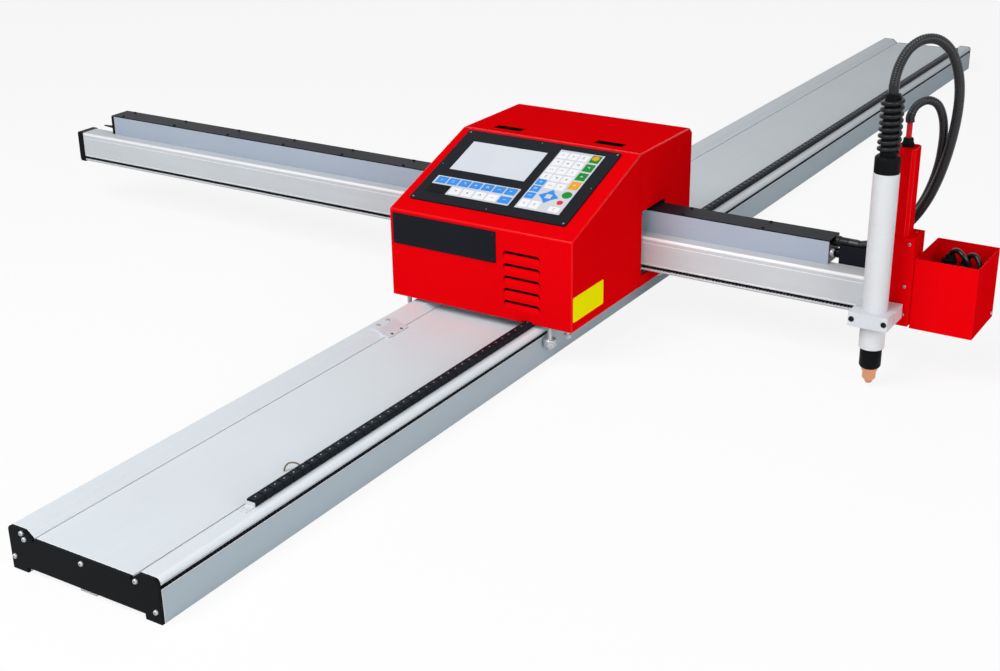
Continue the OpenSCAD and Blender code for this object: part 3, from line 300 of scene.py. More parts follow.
@dataclass(frozen=True)
class DrawnMetal:
    """Metal with fine lines along one axis, as drawing, brushing or turning leaves."""

    name: str
    light: Colour
    dark: Colour
    lines: tuple[float, float, float]
    rough: float = 0.36
    metallic: float = 0.5
    depth: float = 0.00006
    shine: float = 0.15

    def tinted(self, shader: Shader, colour: Sock) -> Sock:
        """The colour as it stands on this piece.

        Args:
            shader: the material.
            colour: the plain metal's colour.

        Returns:
            The colour to use.
        """
        return colour

    def make(self) -> bpy.types.Material:
        """The material."""
        shader = Shader(self.name)
        line = shader.noise(self.lines, 4)
        cloud = shader.noise((5, 5, 5), 2)
        blend = (line * 0.75 + cloud * 0.5 - 0.12).clamped()
        colour = self.tinted(shader, shader.mix(blend, self.dark, self.light))
        shader.set(Base_Color=colour, Metallic=self.metallic,
                   Specular_IOR_Level=self.shine, Roughness=line * 0.16 + (self.rough - 0.08))
        shader.bump(line, self.depth, 0.6)
        return shader.material


@dataclass(frozen=True)
class RailMetal(DrawnMetal):
    """The rail's metal, with painted shade: darker outer sides and nearly black side grooves."""

    # Painted shade: the outer sides are coloured darker than the top, as they catch less light.
    painted_side_shade: Colour = (0.42, 0.49, 0.54)
    flank_top: float = 57.6 * MM
    # Painted shade: the side grooves are coloured nearly black for the shade deep in them.
    black: Colour = (0.012, 0.013, 0.015)
    half: float = 132.5 * MM
    groove: tuple[float, float] = (48.8 * MM, 55.2 * MM)
    groove_floor: float = 124.8 * MM

    def tinted(self, shader: Shader, colour: Sock) -> Sock:
        """The colour with the painted shade on the outer sides and in the grooves added.

        Args:
            shader: the material.
            colour: the plain metal's colour.

        Returns:
            The colour to use.
        """
        place = shader.place()
        across, height = place.part(0), place.part(2)
        reach = across * across
        # painted shade on the outer sides, below the height where they end
        side = (reach > self.half ** 2) * (height < self.flank_top)
        low, high = self.groove
        # painted shade filling the side grooves
        inside = (reach > self.groove_floor ** 2) * (reach < self.half ** 2) * (
            height > low) * (height < high)
        return shader.mix(inside, shader.mix(side, colour, self.painted_side_shade), self.black)


@dataclass(frozen=True)
class BeamMetal(DrawnMetal):
    """The beam's metal, with a painted highlight along its rounded upper edge and painted shade on a
    line where two faces meet and low down.
    """

    crown: tuple[float, float] = (161.0 * MM, 165.7 * MM)
    line_z: tuple[float, float] = (154.2 * MM, 155.8 * MM)
    foot: float = 103.4 * MM
    # Painted highlight colour for the rounded upper edge.
    painted_highlight: Colour = (0.93, 0.94, 0.95)
    # Painted shade colour for the line and the lowest part.
    shade: Colour = (0.10, 0.11, 0.12)

    def tinted(self, shader: Shader, colour: Sock) -> Sock:
        """The colour with the painted highlight, the painted shade line and the painted shade low
        down added.

        Args:
            shader: the material.
            colour: the plain metal's colour.

        Returns:
            The colour to use.
        """
        height = shader.place().part(2)
        # painted highlight along the rounded upper edge
        low, high = self.crown
        highlight_band = (height > low) * (height < high)
        # painted shade on a thin line and, darker, on everything below the foot height
        thin = (height > self.line_z[0]) * (height < self.line_z[1])
        dark = (thin * 0.5 + (height < self.foot) * 0.85).clamped()
        bright = shader.mix(highlight_band * 0.75, colour, self.painted_highlight)
        return shader.mix(dark, bright, self.shade)


@dataclass(frozen=True)
class GrainFinish:
    """Moulded plastic or rubber with a fine grain and faint dust."""

    name: str
    colour: Colour
    dusty: Colour
    rough: float = 0.5
    grain: float = 900
    depth: float = 0.0001
    shine: float = 0.12

    def make(self) -> bpy.types.Material:
        """The material."""
        shader = Shader(self.name)
        grain = shader.noise((self.grain, self.grain, self.grain), 3)
        dust = shader.noise((14, 14, 14), 3)
        amount = ((dust - 0.45) * 2.2).clamped() * 0.6
        shader.set(Base_Color=shader.mix(amount, self.colour, self.dusty), Metallic=0.0,
                   Specular_IOR_Level=self.shine,
                   Roughness=grain * 0.14 + dust * 0.08 + (self.rough - 0.1))
        shader.bump(grain, self.depth, 0.5)
        return shader.material


@dataclass(frozen=True)
class HeatedCopper:
    """Turned copper, browner where the arc heats it."""

    name: str
    tip_z: float
    fresh: Colour = (0.80, 0.36, 0.20)
    burnt: Colour = (0.36, 0.13, 0.06)

    def make(self) -> bpy.types.Material:
        """The material."""
        shader = Shader(self.name)
        height = shader.place().part(2)
        hot = ((height - self.tip_z) * -90 + 0.9).clamped()
        line = shader.noise((60, 60, 2600), 2)
        blend = (hot * 0.6 + line * 0.35).clamped()
        shader.set(Base_Color=shader.mix(blend, self.fresh, self.burnt),
                   Metallic=0.9, Roughness=line * 0.16 + 0.2)
        shader.bump(line, 0.00004, 0.5)
        return shader.material


@dataclass(frozen=True)
class ScreenFinish:
    """A pale switched-off display under a smooth window."""

    name: str
    deep: Colour = (0.60, 0.64, 0.72)
    pale: Colour = (0.74, 0.77, 0.82)

    def make(self) -> bpy.types.Material:
        """The material."""
        shader = Shader(self.name)
        drift = shader.noise((6, 6, 6), 1)
        shader.set(Base_Color=shader.mix(drift, self.deep, self.pale),
                   Metallic=0.0, Roughness=drift * 0.05 + 0.14, Specular_IOR_Level=0.25)
        return shader.material


ALONG_X = (6, 900, 900)
ALONG_Y = (900, 4, 900)
ROUND = (60, 60, 1500)
CUT = (300, 300, 300)

Finish = PaintFinish | DrawnMetal | GrainFinish | HeatedCopper | ScreenFinish

FINISHES: dict[str, Finish] = {
    "red": PaintFinish("red_powder_coat", (0.79, 0.001, 0.004), (0.74, 0.001, 0.003)),
    # Painted highlight: a lighter, glossier copy of the red for the rounded edges.
    "red_edge": PaintFinish("red_powder_coat_edge", (0.82, 0.001, 0.004), (0.76, 0.001, 0.003),
                            0.26, 0.12),
    # Painted shade: a darker copy of the red for the covers' inner walls and the louvres' cheeks.
    "red_painted_shade": PaintFinish("red_powder_coat_painted_shade", (0.50, 0.001, 0.004),
                            (0.42, 0.001, 0.003), 0.45, 0.1),
    # Painted shade: near black for the sheets behind the louvres, under the top slots and behind the
    # seam.
    "painted_shade_inside": PaintFinish("painted_shade_inside", (0.003, 0.002, 0.002), (0.002, 0.001, 0.001), 0.8),
    "satin_black": PaintFinish("satin_black_panel", (0.012, 0.014, 0.019),
                               (0.009, 0.010, 0.014), 0.42, 0.04),
    "yellow": PaintFinish("plain_yellow_film", (0.95, 0.88, 0.003), (0.91, 0.84, 0.002)),
    "bed": RailMetal("anodised_bed", (0.72, 0.77, 0.80), (0.62, 0.66, 0.70), ALONG_Y, 0.55,
                     0.06, shine=0.06),
    # Painted highlight: a lighter copy of the bed's metal for its bevelled edges.
    "bed_edge": DrawnMetal("anodised_edge", (0.92, 0.94, 0.96), (0.86, 0.88, 0.91), ALONG_Y,
                           0.4, 0.1),
    "beam": BeamMetal("anodised_beam", (0.66, 0.69, 0.71), (0.50, 0.53, 0.56), ALONG_X, 0.46,
                      0.08, shine=0.06),
    # Painted highlight: a lighter copy of the beam's metal for its bevelled edges.
    "beam_edge": DrawnMetal("beam_edge", (0.94, 0.95, 0.97), (0.88, 0.90, 0.93), ALONG_X,
                            0.4, 0.1),
    # The duct's top edge takes the painted highlight stripe; its painted shade line and low shade are
    # off.
    "duct": BeamMetal("anodised_duct", (0.45, 0.51, 0.60), (0.36, 0.42, 0.51), ALONG_X, 0.46,
                      0.08, shine=0.05, crown=(206.0 * MM, 209.0 * MM), line_z=(0.0, 0.0),
                      foot=0.0),
    "milled": DrawnMetal("milled_aluminium", (0.72, 0.75, 0.78), (0.58, 0.61, 0.65),
                         (400, 400, 400), 0.44, 0.2),
    "turned": DrawnMetal("turned_aluminium", (0.74, 0.75, 0.77), (0.62, 0.64, 0.66), ROUND,
                         0.34, 0.06, shine=0.04),
    "zinc": DrawnMetal("zinc_screw", (0.58, 0.60, 0.62), (0.38, 0.40, 0.42), (500, 500, 500),
                       0.28, 0.5),
    "steel": DrawnMetal("cut_steel", (0.30, 0.31, 0.33), (0.2, 0.21, 0.23), CUT, 0.42, 0.7),
    # Painted shade: the racks are coloured nearly black for the shade of the grooves they lie in.
    "rack": DrawnMetal("rack_painted_groove_shade", (0.020, 0.021, 0.023), (0.012, 0.012, 0.013),
                       CUT, 0.45, 0.3, shine=0.1),
    "black_steel": DrawnMetal("black_steel", (0.03, 0.03, 0.034), (0.016, 0.016, 0.018),
                              CUT, 0.4, 0.4),
    "plastic": GrainFinish("black_plastic", (0.005, 0.006, 0.007), (0.009, 0.010, 0.012), 0.45,
                           shine=0.04),
    "chain": GrainFinish("black_chain", (0.007, 0.010, 0.014), (0.014, 0.019, 0.026), 0.4,
                         shine=0.05),
    "motor": GrainFinish("motor_black", (0.010, 0.010, 0.011), (0.025, 0.025, 0.027), 0.4, 500),
    "rubber": GrainFinish("black_rubber", (0.006, 0.007, 0.009), (0.014, 0.015, 0.018), 0.34,
                          600, shine=0.2),
    "hose": GrainFinish("glossy_hose", (0.005, 0.006, 0.009), (0.012, 0.014, 0.019), 0.26, 600,
                        shine=0.36),
    "nylon": GrainFinish("white_nylon", (0.72, 0.72, 0.70), (0.55, 0.55, 0.53), 0.5),
    "key_film": GrainFinish("keypad_film", (0.64, 0.65, 0.70), (0.56, 0.57, 0.62), 0.45),
    "key_white": GrainFinish("white_key", (0.86, 0.86, 0.88), (0.78, 0.78, 0.80), 0.4),
    "key_blue": GrainFinish("blue_key", (0.035, 0.27, 0.76), (0.05, 0.31, 0.80), 0.4),
    "key_green": GrainFinish("green_key", (0.003, 0.24, 0.022), (0.01, 0.30, 0.04), 0.4),
    "key_orange": GrainFinish("orange_key", (0.80, 0.36, 0.01), (0.84, 0.43, 0.03), 0.4),
    "key_red": GrainFinish("red_key", (0.72, 0.02, 0.03), (0.78, 0.05, 0.06), 0.4),
    "ink": GrainFinish("key_ink", (0.02, 0.02, 0.024), (0.04, 0.04, 0.045), 0.5),
    "board": GrainFinish("board_green", (0.01, 0.10, 0.03), (0.03, 0.14, 0.05), 0.4),
    "red_cable": GrainFinish("red_cable", (0.62, 0.01, 0.012), (0.7, 0.05, 0.05), 0.35),
    "brown_wire": GrainFinish("brown_wire", (0.20, 0.15, 0.11), (0.28, 0.22, 0.17), 0.5),
    "copper": HeatedCopper("turned_copper", 7.5 * MM),
    "screen": ScreenFinish("pale_screen"),
}
MATERIALS: dict[str, bpy.types.Material] = {}


def finish(name: str) -> bpy.types.Material:
    """The material of a named finish, made once.

    Args:
        name: a key of FINISHES.

    Returns:
        The material.
    """
    if name not in MATERIALS:
        MATERIALS[name] = FINISHES[name].make()
    return MATERIALS[name]


# Mesh pieces


class Shape:
    """One piece in the making: a bmesh and the finishes that it uses."""

    def __init__(self, name: str, *finishes: str) -> None:
        """Starts an empty piece.

        Args:
            name: the piece's name.
            finishes: its finishes, in slot order.
        """
        self.name = name
        self.finishes = finishes
        self.bm = bmesh.new()

    def _soften(self, part: bmesh.types.BMesh, bevel: float, segments: int) -> None:
        """Rounds every edge of a part.

        Args:
            part: the part.
            bevel: radius of the edges, where 0 leaves them sharp.
            segments: steps in each rounded edge.
        """
        if bevel > 0:
            bmesh.ops.bevel(part, geom=part.edges[:], offset=bevel, segments=segments,
                            profile=0.5, affect="EDGES", material=-1)

    def _take(self, part: bmesh.types.BMesh, slot: int, smooth: bool) -> None:
        """Adds a finished part to the piece.

        Args:
            part: a bmesh, freed here.
            slot: its material slot.
            smooth: whether its faces shade smooth.
        """
        for face in part.faces:
            face.material_index = slot
            face.smooth = smooth
        mesh = bpy.data.meshes.new("part")
        part.to_mesh(mesh)
        part.free()
        self.bm.from_mesh(mesh)
        bpy.data.meshes.remove(mesh)

    def box(self, low: Vector, high: Vector, bevel: float = 0.0, slot: int = 0,
            turn: Matrix = NO_TURN) -> None:
        """Adds a box between two corners, with rounded edges.

        Args:
            low: lowest corner.
            high: highest corner.
            bevel: radius of the edges.
            slot: material slot.
            turn: a last transform.
        """
        part = bmesh.new()
        bmesh.ops.create_cube(part, size=1.0)
        size = Vector(high) - Vector(low)
        place = Matrix.Translation((Vector(low) + Vector(high)) / 2) @ Matrix.Diagonal(
            (*size, 1.0))
        bmesh.ops.transform(part, matrix=place, verts=part.verts)
        self._soften(part, bevel, 2)
        bmesh.ops.transform(part, matrix=turn, verts=part.verts)
        self._take(part, slot, False)

    def lathe(self, profile: Sequence[tuple[float, float]], at: Vector,
              axis: Axis = Axis.Z, slot: int = 0, steps: int = 48,
              turn: Matrix = NO_TURN) -> None:
        """Adds a turned part.

        Args:
            profile: (radius, height) points from the bottom to the top, in millimetres.
            at: where height 0 lies on the axis.
            axis: which way the part points.
            slot: material slot.
            steps: steps round the axis.
            turn: a last transform.
        """
        part = bmesh.new()
        line = [part.verts.new((radius * MM, 0, height * MM)) for radius, height in profile]
        edges = [part.edges.new(pair) for pair in zip(line, line[1:])]
        bmesh.ops.spin(part, geom=line + edges, cent=(0, 0, 0), axis=(0, 0, 1),
                       angle=math.tau, steps=steps, use_merge=True, use_duplicate=False)
        bmesh.ops.remove_doubles(part, verts=part.verts, dist=1e-7)
        bmesh.ops.holes_fill(part, edges=part.edges[:], sides=0)
        bmesh.ops.recalc_face_normals(part, faces=part.faces)
        bmesh.ops.transform(part, matrix=turn @ Matrix.Translation(at) @ axis.value,
                            verts=part.verts)
        self._take(part, slot, True)

    def prism(self, outline: Sequence[Vector], along: Vector, bevel: float = 0.0,
              slot: int = 0, segments: int = 2) -> None:
        """Adds an extruded outline.

        Args:
            outline: the corners of a flat face.
            along: the extrusion.
            bevel: radius of the edges.
            slot: material slot.
            segments: steps in each rounded edge.
        """
        part = bmesh.new()
        face = part.faces.new([part.verts.new(point) for point in outline])
        grown = bmesh.ops.extrude_face_region(part, geom=[face], use_keep_orig=True)
        moved = [item for item in grown["geom"] if isinstance(item, bmesh.types.BMVert)]
        bmesh.ops.translate(part, vec=along, verts=moved)
        bmesh.ops.recalc_face_normals(part, faces=part.faces)
        self._soften(part, bevel, segments)
        self._take(part, slot, False)

    def loft(self, loops: Iterable[Sequence[Vector]], slot: int = 0,
             smooth: bool = True) -> None:
        """Adds a skin over closed loops of equal length, with closed ends.

        Args:
            loops: the corners of each loop.
            slot: material slot.
            smooth: whether it shades smooth.
        """
        part = bmesh.new()
        rows = [[part.verts.new(point) for point in loop] for loop in loops]
        count = len(rows[0])
        part.faces.new(rows[0])
        part.faces.new(rows[-1][::-1])
        for low, high in zip(rows, rows[1:]):
            for k in range(count):
                n = (k + 1) % count
                part.faces.new((low[k], low[n], high[n], high[k]))
        bmesh.ops.recalc_face_normals(part, faces=part.faces)
        self._take(part, slot, smooth)

    def tube(self, rings: Sequence[tuple[Vector, Vector, float]], side: Vector,
             sides: int) -> None:
        """Adds a tube through rings, with closed ends.

        Args:
            rings: (centre, direction, radius) of each ring.
            side: a direction that the tube never points along.
            sides: corners of each ring.
        """
        loops = []
        for centre, direction, radius in rings:
            across = direction.cross(side).normalized()
            up = direction.cross(across).normalized()
            loops.append([centre + radius * (math.cos(k * math.tau / sides) * across
                                             + math.sin(k * math.tau / sides) * up)
                          for k in range(sides)])
        self.loft(loops)

    def screw(self, at: Vector, axis: Axis, radius: float, height: float,
              slot: int = 0) -> None:
        """Adds a round-headed socket screw.

        Args:
            at: the centre of its seat.
            axis: which way the head points.
            radius: of the head, in millimetres.
            height: of the head, in millimetres.
            slot: material slot.
        """
        r, h = radius, height
        self.lathe([(0, -0.2), (r, -0.2), (r, h * 0.5), (r * 0.92, h * 0.8), (r * 0.7, h),
                    (r * 0.42, h), (r * 0.38, h * 0.55), (0, h * 0.5)], at, axis, slot, 20)

    def made(self) -> bpy.types.Object:
        """The shape as an object in the scene, with its finishes."""
        mesh = bpy.data.meshes.new(self.name)
        self.bm.to_mesh(mesh)
        self.bm.free()
        for name in self.finishes:
            mesh.materials.append(finish(name))
        piece = bpy.data.objects.new(self.name, mesh)
        bpy.context.scene.collection.objects.link(piece)
        return piece

    def build(self, body: str | None, *replaced: str, slot: str,
              angle: float = 35.0) -> bpy.types.Object:
        """Makes the object and ties it to its body.

        Args:
            body: the CAD body that it rides on, or None for one that a blend carries.
            replaced: CAD nodes that it stands for.
            slot: not used.
            angle: edges sharper than this stay sharp.

        Returns:
            The object.
        """
        for edge in self.bm.edges:
            if len(edge.link_faces) == 2 and edge.calc_face_angle() > math.radians(angle):
                edge.smooth = False
        piece = self.made()
        if body:
            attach(piece, body)
        if replaced:
            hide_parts(*replaced)
        log.info("%s: %d faces on %s", self.name, len(piece.data.polygons), body)
        return piece


def baked(piece: bpy.types.Object) -> None:
    """Applies a piece's modifiers to its mesh.

    Args:
        piece: the object.
    """
    graph = bpy.context.evaluated_depsgraph_get()
    graph.update()
    mesh = bpy.data.meshes.new_from_object(piece.evaluated_get(graph))
    old = piece.data
    piece.modifiers.clear()
    piece.data = mesh
    bpy.data.meshes.remove(old)


def carved(piece: bpy.types.Object, tools: Sequence[Shape]) -> None:
    """Cuts tools out of a piece.

    Args:
        piece: the object to cut.
        tools: the shapes to take away.
    """
    cutters = [tool.made() for tool in tools]
    for cutter in cutters:
        change = piece.modifiers.new("cut", "BOOLEAN")
        change.operation = "DIFFERENCE"
        change.solver = "EXACT"
        change.object = cutter
    baked(piece)
    for cutter in cutters:
        bpy.data.objects.remove(cutter)


@dataclass
class Dresser:
    """Finishes the CAD nodes that keep their own shape."""

    nodes: dict[str, tuple[str, float]] = field(default_factory=dict)

    def dress(self) -> None:
        """Gives each node its material and, where it has one, softened edges."""
        for name, (look, edge) in self.nodes.items():
            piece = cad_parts[name]
            piece.data.materials.clear()
            piece.data.materials.append(finish(look))
            log.info("%s: %s", name, look)
            weld = piece.modifiers.new("weld", "WELD")
            weld.merge_threshold = 0.02 * MM
            if edge <= 0:
                continue
            flat = piece.modifiers.new("flat", "DECIMATE")
            flat.decimate_type = "DISSOLVE"
            flat.angle_limit = math.radians(1.0)
            soft = piece.modifiers.new("soft", "BEVEL")
            soft.width = edge * MM
            soft.segments = 2
            soft.limit_method = "ANGLE"
            soft.angle_limit = math.radians(40)
            soft.harden_normals = False
            # bevels take a lighter copy of the finish where one exists: painted highlight
            if look + "_edge" in FINISHES:
                piece.data.materials.append(finish(look + "_edge"))
                soft.material = 1


@dataclass
class Rail:
    """The rail's small pieces: the drag chain, its tie and the screws."""

    pitch: float = 20.0
    height: float = 10.0
    width: float = 15.0
    cheek: float = 1.3
    tongue: float = 1.0
    tongue_inset: float = 3.7
    play: float = 0.3
    cap: float = 5.0
    cap_screws: Sequence[tuple[float, float]] = (
        (-126, 20), (-107, 59.5), (-103, 51.5), (0, 47.5), (95, 52), (125, 17))
    plate_screw_reach: float = 13.5
    ridge_screw: tuple[float, float] = (-109.5, 67.5)
    slope_screw: tuple[float, float] = (-81.5, 57.8)

    def build(self) -> None:
        """Builds the chain, the tie and the screws."""
        self._chain()
        self._tie()
        self._screws()

    def _link(self, shape: Shape, y: float, x: float, z: float) -> None:
        """Adds one chain link.

        Args:
            shape: the chain.
            y: where the link begins.
            x: the middle of the chain.
            z: the ridge's top.
        """
        half, top, end = self.width / 2, z + self.height, y + self.pitch
        for side in (-1, 1):
            outer = x + side * (half - self.cheek)
            shape.box(mm(outer - self.cheek, y + self.play, z),
                      mm(outer + self.cheek, end - self.play, top - self.play), 0.9 * MM)
            inner = x + side * (half - self.tongue_inset)
            shape.box(mm(inner - self.tongue, end - 7, z + 0.8),
                      mm(inner + self.tongue, end + 5.6, top - 1), 0.6 * MM)
        shape.box(mm(x - half + 0.7, y + 1.0, top - 2.4), mm(x + half - 0.7, end - 1.0, top),
                  0.7 * MM)
        shape.box(mm(x - half + 3, y, z), mm(x + half - 3, end, z + 2.0))
        shape.screw(mm(x, y + self.pitch / 2, top - 0.15), Axis.Z, 1.1, 0.3, 1)

    def _chain(self) -> None:
        """Builds the drag chain inside its CAD space."""
        low, high = box_mm("drag_chain")
        shape = Shape("drag_chain_links", "chain", "zinc")
        middle = (low.x + high.x) / 2
        for i in range(round((high.y - low.y) / self.pitch)):
            self._link(shape, low.y + i * self.pitch, middle, low.z)
        shape.build("rail", "drag_chain", slot="black_plastic")

    def _tie(self) -> None:
        """Builds the thin wire tie that lies in the bed beside the chain's end."""
        points = [mm(74, -1388, 56.6), mm(74.5, -1386, 62), mm(77, -1382, 66.5),
                  mm(82, -1378, 67.5), mm(88, -1375, 66), mm(92, -1375, 64.6)]
        shape = Shape("chain_tie", "brown_wire")
        shape.tube([(point, heading, 1.3 * MM) for point, heading in Route(points).even(0.002)],
                   Vector((0.7, -0.7, 0.1)), 8)
        shape.build("rail", slot="black_plastic")

    def _screws(self) -> None:
        """Builds the screw heads on the end caps and the splice plate."""
        shape = Shape("rail_screws", "zinc", "black_steel")
        near = box_mm("rail_extrusion")[0].y - self.cap
        for x, z in self.cap_screws:
            shape.screw(mm(x, near, z), Axis.MINUS_Y, 3.6, 3.1)
            shape.screw(mm(x, -near, z), Axis.Y, 3.6, 3.1)
        low, high = box_mm("splice_plate")
        middle = (low.y + high.y) / 2
        for y in (middle - self.plate_screw_reach, middle + self.plate_screw_reach):
            for (x, z), radius, height, look in ((self.ridge_screw, 3.7, 2.5, 0),
                                                 (self.slope_screw, 2.6, 1.8, 1)):
                shape.screw(mm(x, y, z), Axis.Z, radius, height, look)
        shape.build("rail", "rail_cap_screws", slot="zinc_screw")


class Route:
    """A smooth line through given points."""

    def __init__(self, points: Sequence[Vector]) -> None:
        """Keeps the points.

        Args:
            points: the route's points, in metres.
        """
        self.points = [Vector(point) for point in points]

    def _at(self, i: int, t: float) -> Vector:
        """A point on the curve between two of the route's points.

        Args:
            i: the first of the two.
            t: 0 at the first, 1 at the next.

        Returns:
            The point.
        """
        p = self.points
        a, b, c, d = p[max(i - 1, 0)], p[i], p[i + 1], p[min(i + 2, len(p) - 1)]
        return 0.5 * (2 * b + (c - a) * t + (2 * a - 5 * b + 4 * c - d) * t * t
                      + (3 * b - a - 3 * c + d) * t ** 3)

    def fine(self) -> list[Vector]:
        """The route in short steps."""
        steps = 16
        line = [self._at(i, k / steps) for i in range(len(self.points) - 1)
                for k in range(steps)]
        return line + [self.points[-1].copy()]

    def length(self) -> float:
        """The route's length in metres."""
        line = self.fine()
        return sum((b - a).length for a, b in zip(line, line[1:]))

    def even(self, step: float) -> list[tuple[Vector, Vector]]:
        """Points at even distances, with the direction at each.

        Args:
            step: the distance, in metres.

        Returns:
            (point, direction) pairs from end to end.
        """
        line = self.fine()
        total = self.length()
        count = max(2, round(total / step))
        found: list[Vector] = []
        index, gone = 0, 0.0
        for k in range(count + 1):
            want = min(total * k / count, total - 1e-9)
            while index < len(line) - 2 and gone + (line[index + 1] - line[index]).length < want:
                gone += (line[index + 1] - line[index]).length
                index += 1
            span = (line[index + 1] - line[index]).length
            found.append(line[index].lerp(line[index + 1], (want - gone) / span))
        found[-1] = line[-1].copy()
        pairs = []
        for k, point in enumerate(found):
            ahead = found[min(k + 1, count)] - found[max(k - 1, 0)]
            pairs.append((point, ahead.normalized()))
        return pairs


@dataclass
class Host:
    """The red carriage housing with its louvres and slots."""

    left: float = field(init=False)
    right: float = field(init=False)
    front: float = field(init=False)
    seam: float = field(init=False)
    back: float = field(init=False)
    bottom: float = field(init=False)
    top: float = field(init=False)
    front_top: float = 232.0
    sheet: float = 2.0
    louvre_low: float = 92.5
    louvre_pitch: float = 22.0
    louvre_count: int = 5
    louvre_h: float = 15.0
    louvre_x: tuple[float, float] = (63.0, 136.0)
    louvre_round: float = 7.0
    slot_reach: float = 104.0
    slot_half: float = 29.0
    slot_y: tuple[float, float] = (-531.0, -509.0)
    window: tuple[Sequence[float], Sequence[float]] = ((-136, 44, -8), (154, 234, 8))
    beam_way_y: tuple[float, float] = (-544.0, -455.0)
    beam_way_z: tuple[float, float] = (94.0, 214.0)
    slits: int = 6
    slit_pitch: float = 12.0
    slit_w: float = 6.0
    slit_x: float = -90.0
    slit_z: tuple[float, float] = (240.0, 280.0)
    socket_x: tuple[float, float] = (40.0, 140.0)
    socket_z: tuple[float, float] = (130.0, 190.0)
    chain_gap: float = 2.0

    def __post_init__(self) -> None:
        """Takes the housing's outline and the seam between its covers from the frame."""
        low, high = box_mm("front_cover")
        self.left, self.right, self.bottom, self.top = low.x, high.x, low.z, high.z
        self.front = box_mm("name_plate")[1].y
        self.seam = high.y
        self.back = box_mm("rear_cover")[1].y

    @property
    def middle(self) -> float:
        """The housing's middle across the rail."""
        return (self.left + self.right) / 2

    def louvres(self) -> list[float]:
        """The height of each louvre's lower edge."""
        return [self.louvre_low + self.louvre_pitch * i for i in range(self.louvre_count)]

    def panel_frame(self) -> Matrix:
        """The frame of the sloping face: x across the rail, y up the slope, z out."""
        angle = math.atan2(self.top - self.front_top, self.seam - self.front)
        return Matrix.Translation(mm(0, self.front, self.front_top)) @ Matrix.Rotation(
            angle, 4, "X")

    def build(self) -> None:
        """Builds both covers, the name plate and the screws."""
        self._cover("front_cover_skin", self.front - 10, self.seam - 0.6, "front_cover",
                    self._front_cuts())
        self._cover("rear_cover_skin", self.seam + 0.7, self.back + 10, "rear_cover",
                    self._rear_cuts())
        self._louvres()
        self._name_plate()
        self._screws()

    def _outline(self) -> list[Vector]:
        """The housing's side outline on its left face."""
        x = self.left
        return [mm(x, self.front, self.bottom), mm(x, self.front, self.front_top),
                mm(x, self.seam, self.top), mm(x, self.back - 10, self.top),
                mm(x, self.back, self.top - 10), mm(x, self.back, self.bottom)]

    def _cover(self, name: str, near: float, far: float, node: str,
               cuts: Sequence[Shape]) -> None:
        """Builds one cover: a rounded block cut at the seam, hollowed and pierced.

        Args:
            name: the piece's name.
            near: where the cover begins along the rail.
            far: where it ends.
            node: the CAD node that it stands for.
            cuts: what is cut out of it.
        """
        shape = Shape(name, "red", "red_painted_shade", "red_edge")
        shape.prism(self._outline(), mm(self.right - self.left, 0, 0), 2.4 * MM, 0, 4)
        bm = shape.bm
        for point, normal in ((mm(0, near, 0), (0, -1, 0)), (mm(0, far, 0), (0, 1, 0)),
                              (mm(0, 0, self.bottom + 0.01), (0, 0, -1))):
            bmesh.ops.bisect_plane(bm, geom=bm.verts[:] + bm.edges[:] + bm.faces[:],
                                   plane_co=point, plane_no=normal, clear_outer=True)
        for face in bm.faces:
            face.smooth = True
        piece = shape.build("carriage", node, slot="red_paint", angle=50)
        wall = piece.modifiers.new("wall", "SOLIDIFY")
        wall.thickness = self.sheet * MM
        wall.offset = -1
        # the inner wall takes the darker red: painted shade
        wall.material_offset = 1
        baked(piece)
        carved(piece, cuts)
        flat = (Vector((1, 0, 0)), Vector((0, 1, 0)), Vector((0, 0, 1)),
                self.panel_frame().to_3x3() @ Vector((0, 0, 1)))
        for face in piece.data.polygons:
            face.use_smooth = not any(abs(face.normal.dot(way)) > 0.9999 for way in flat)
            # rounded outer faces take the lighter red: painted highlight
            if face.use_smooth and face.material_index == 0:
                face.material_index = 2

    def _front_cuts(self) -> list[Shape]:
        """The louvre slots and the panel's window in the front cover."""
        slots = Shape("slots", "red_painted_shade")
        left, right = self.louvre_x
        y, r, steps = self.front - 1, self.louvre_round, 6
        for z in self.louvres():
            corners = [mm(left, y, z), mm(right, y, z)]
            for x, turn in ((right - r, 0), (left + r, 1)):
                for k in range(steps + 1):
                    a = (turn + k / steps) * math.pi / 2
                    corners.append(mm(x + r * math.cos(a), y,
                                      z + self.louvre_h - r + r * math.sin(a)))
            slots.prism(corners, mm(0, 5, 0))
        window = Shape("window", "red_painted_shade")
        low, high = self.window
        window.box(mm(*low), mm(*high), turn=self.panel_frame())
        return [slots, window, self._chain_way()]

    def _chain_way(self) -> Shape:
        """The way over the drag chain at the foot of both covers."""
        low, high = box_mm("drag_chain")
        shape = Shape("chain_way", "red_painted_shade")
        gap = self.chain_gap
        shape.box(mm(low.x - gap, -1000, 50), mm(high.x + gap, 0, high.z + gap))
        return shape

    def _rear_cuts(self) -> list[Shape]:
        """The beam openings, the top slots and the openings in the back."""
        beam = Shape("beam_way", "red_painted_shade")
        (y0, y1), (z0, z1) = self.beam_way_y, self.beam_way_z
        beam.box(mm(self.left - 20, y0, z0), mm(self.right + 20, y1, z1), 3 * MM)
        tops = Shape("top_slots", "painted_shade_inside")
        near, far = self.slot_y
        for x in (self.middle - self.slot_reach, self.middle + self.slot_reach):
            tops.box(mm(x - self.slot_half, near, self.top - 6),
                     mm(x + self.slot_half, far, self.top + 6))
        backs = Shape("back_ways", "red_painted_shade")
        inner, outer = self.back - 6, self.back + 6
        low, high = self.slit_z
        for i in range(self.slits):
            x = self.middle + self.slit_x + self.slit_pitch * i
            backs.box(mm(x, inner, low), mm(x + self.slit_w, outer, high), 1.5 * MM)
        (x0, x1), (z0, z1) = self.socket_x, self.socket_z
        backs.box(mm(self.middle + x0, inner, z0), mm(self.middle + x1, outer, z1))
        return [beam, tops, backs, self._chain_way()]

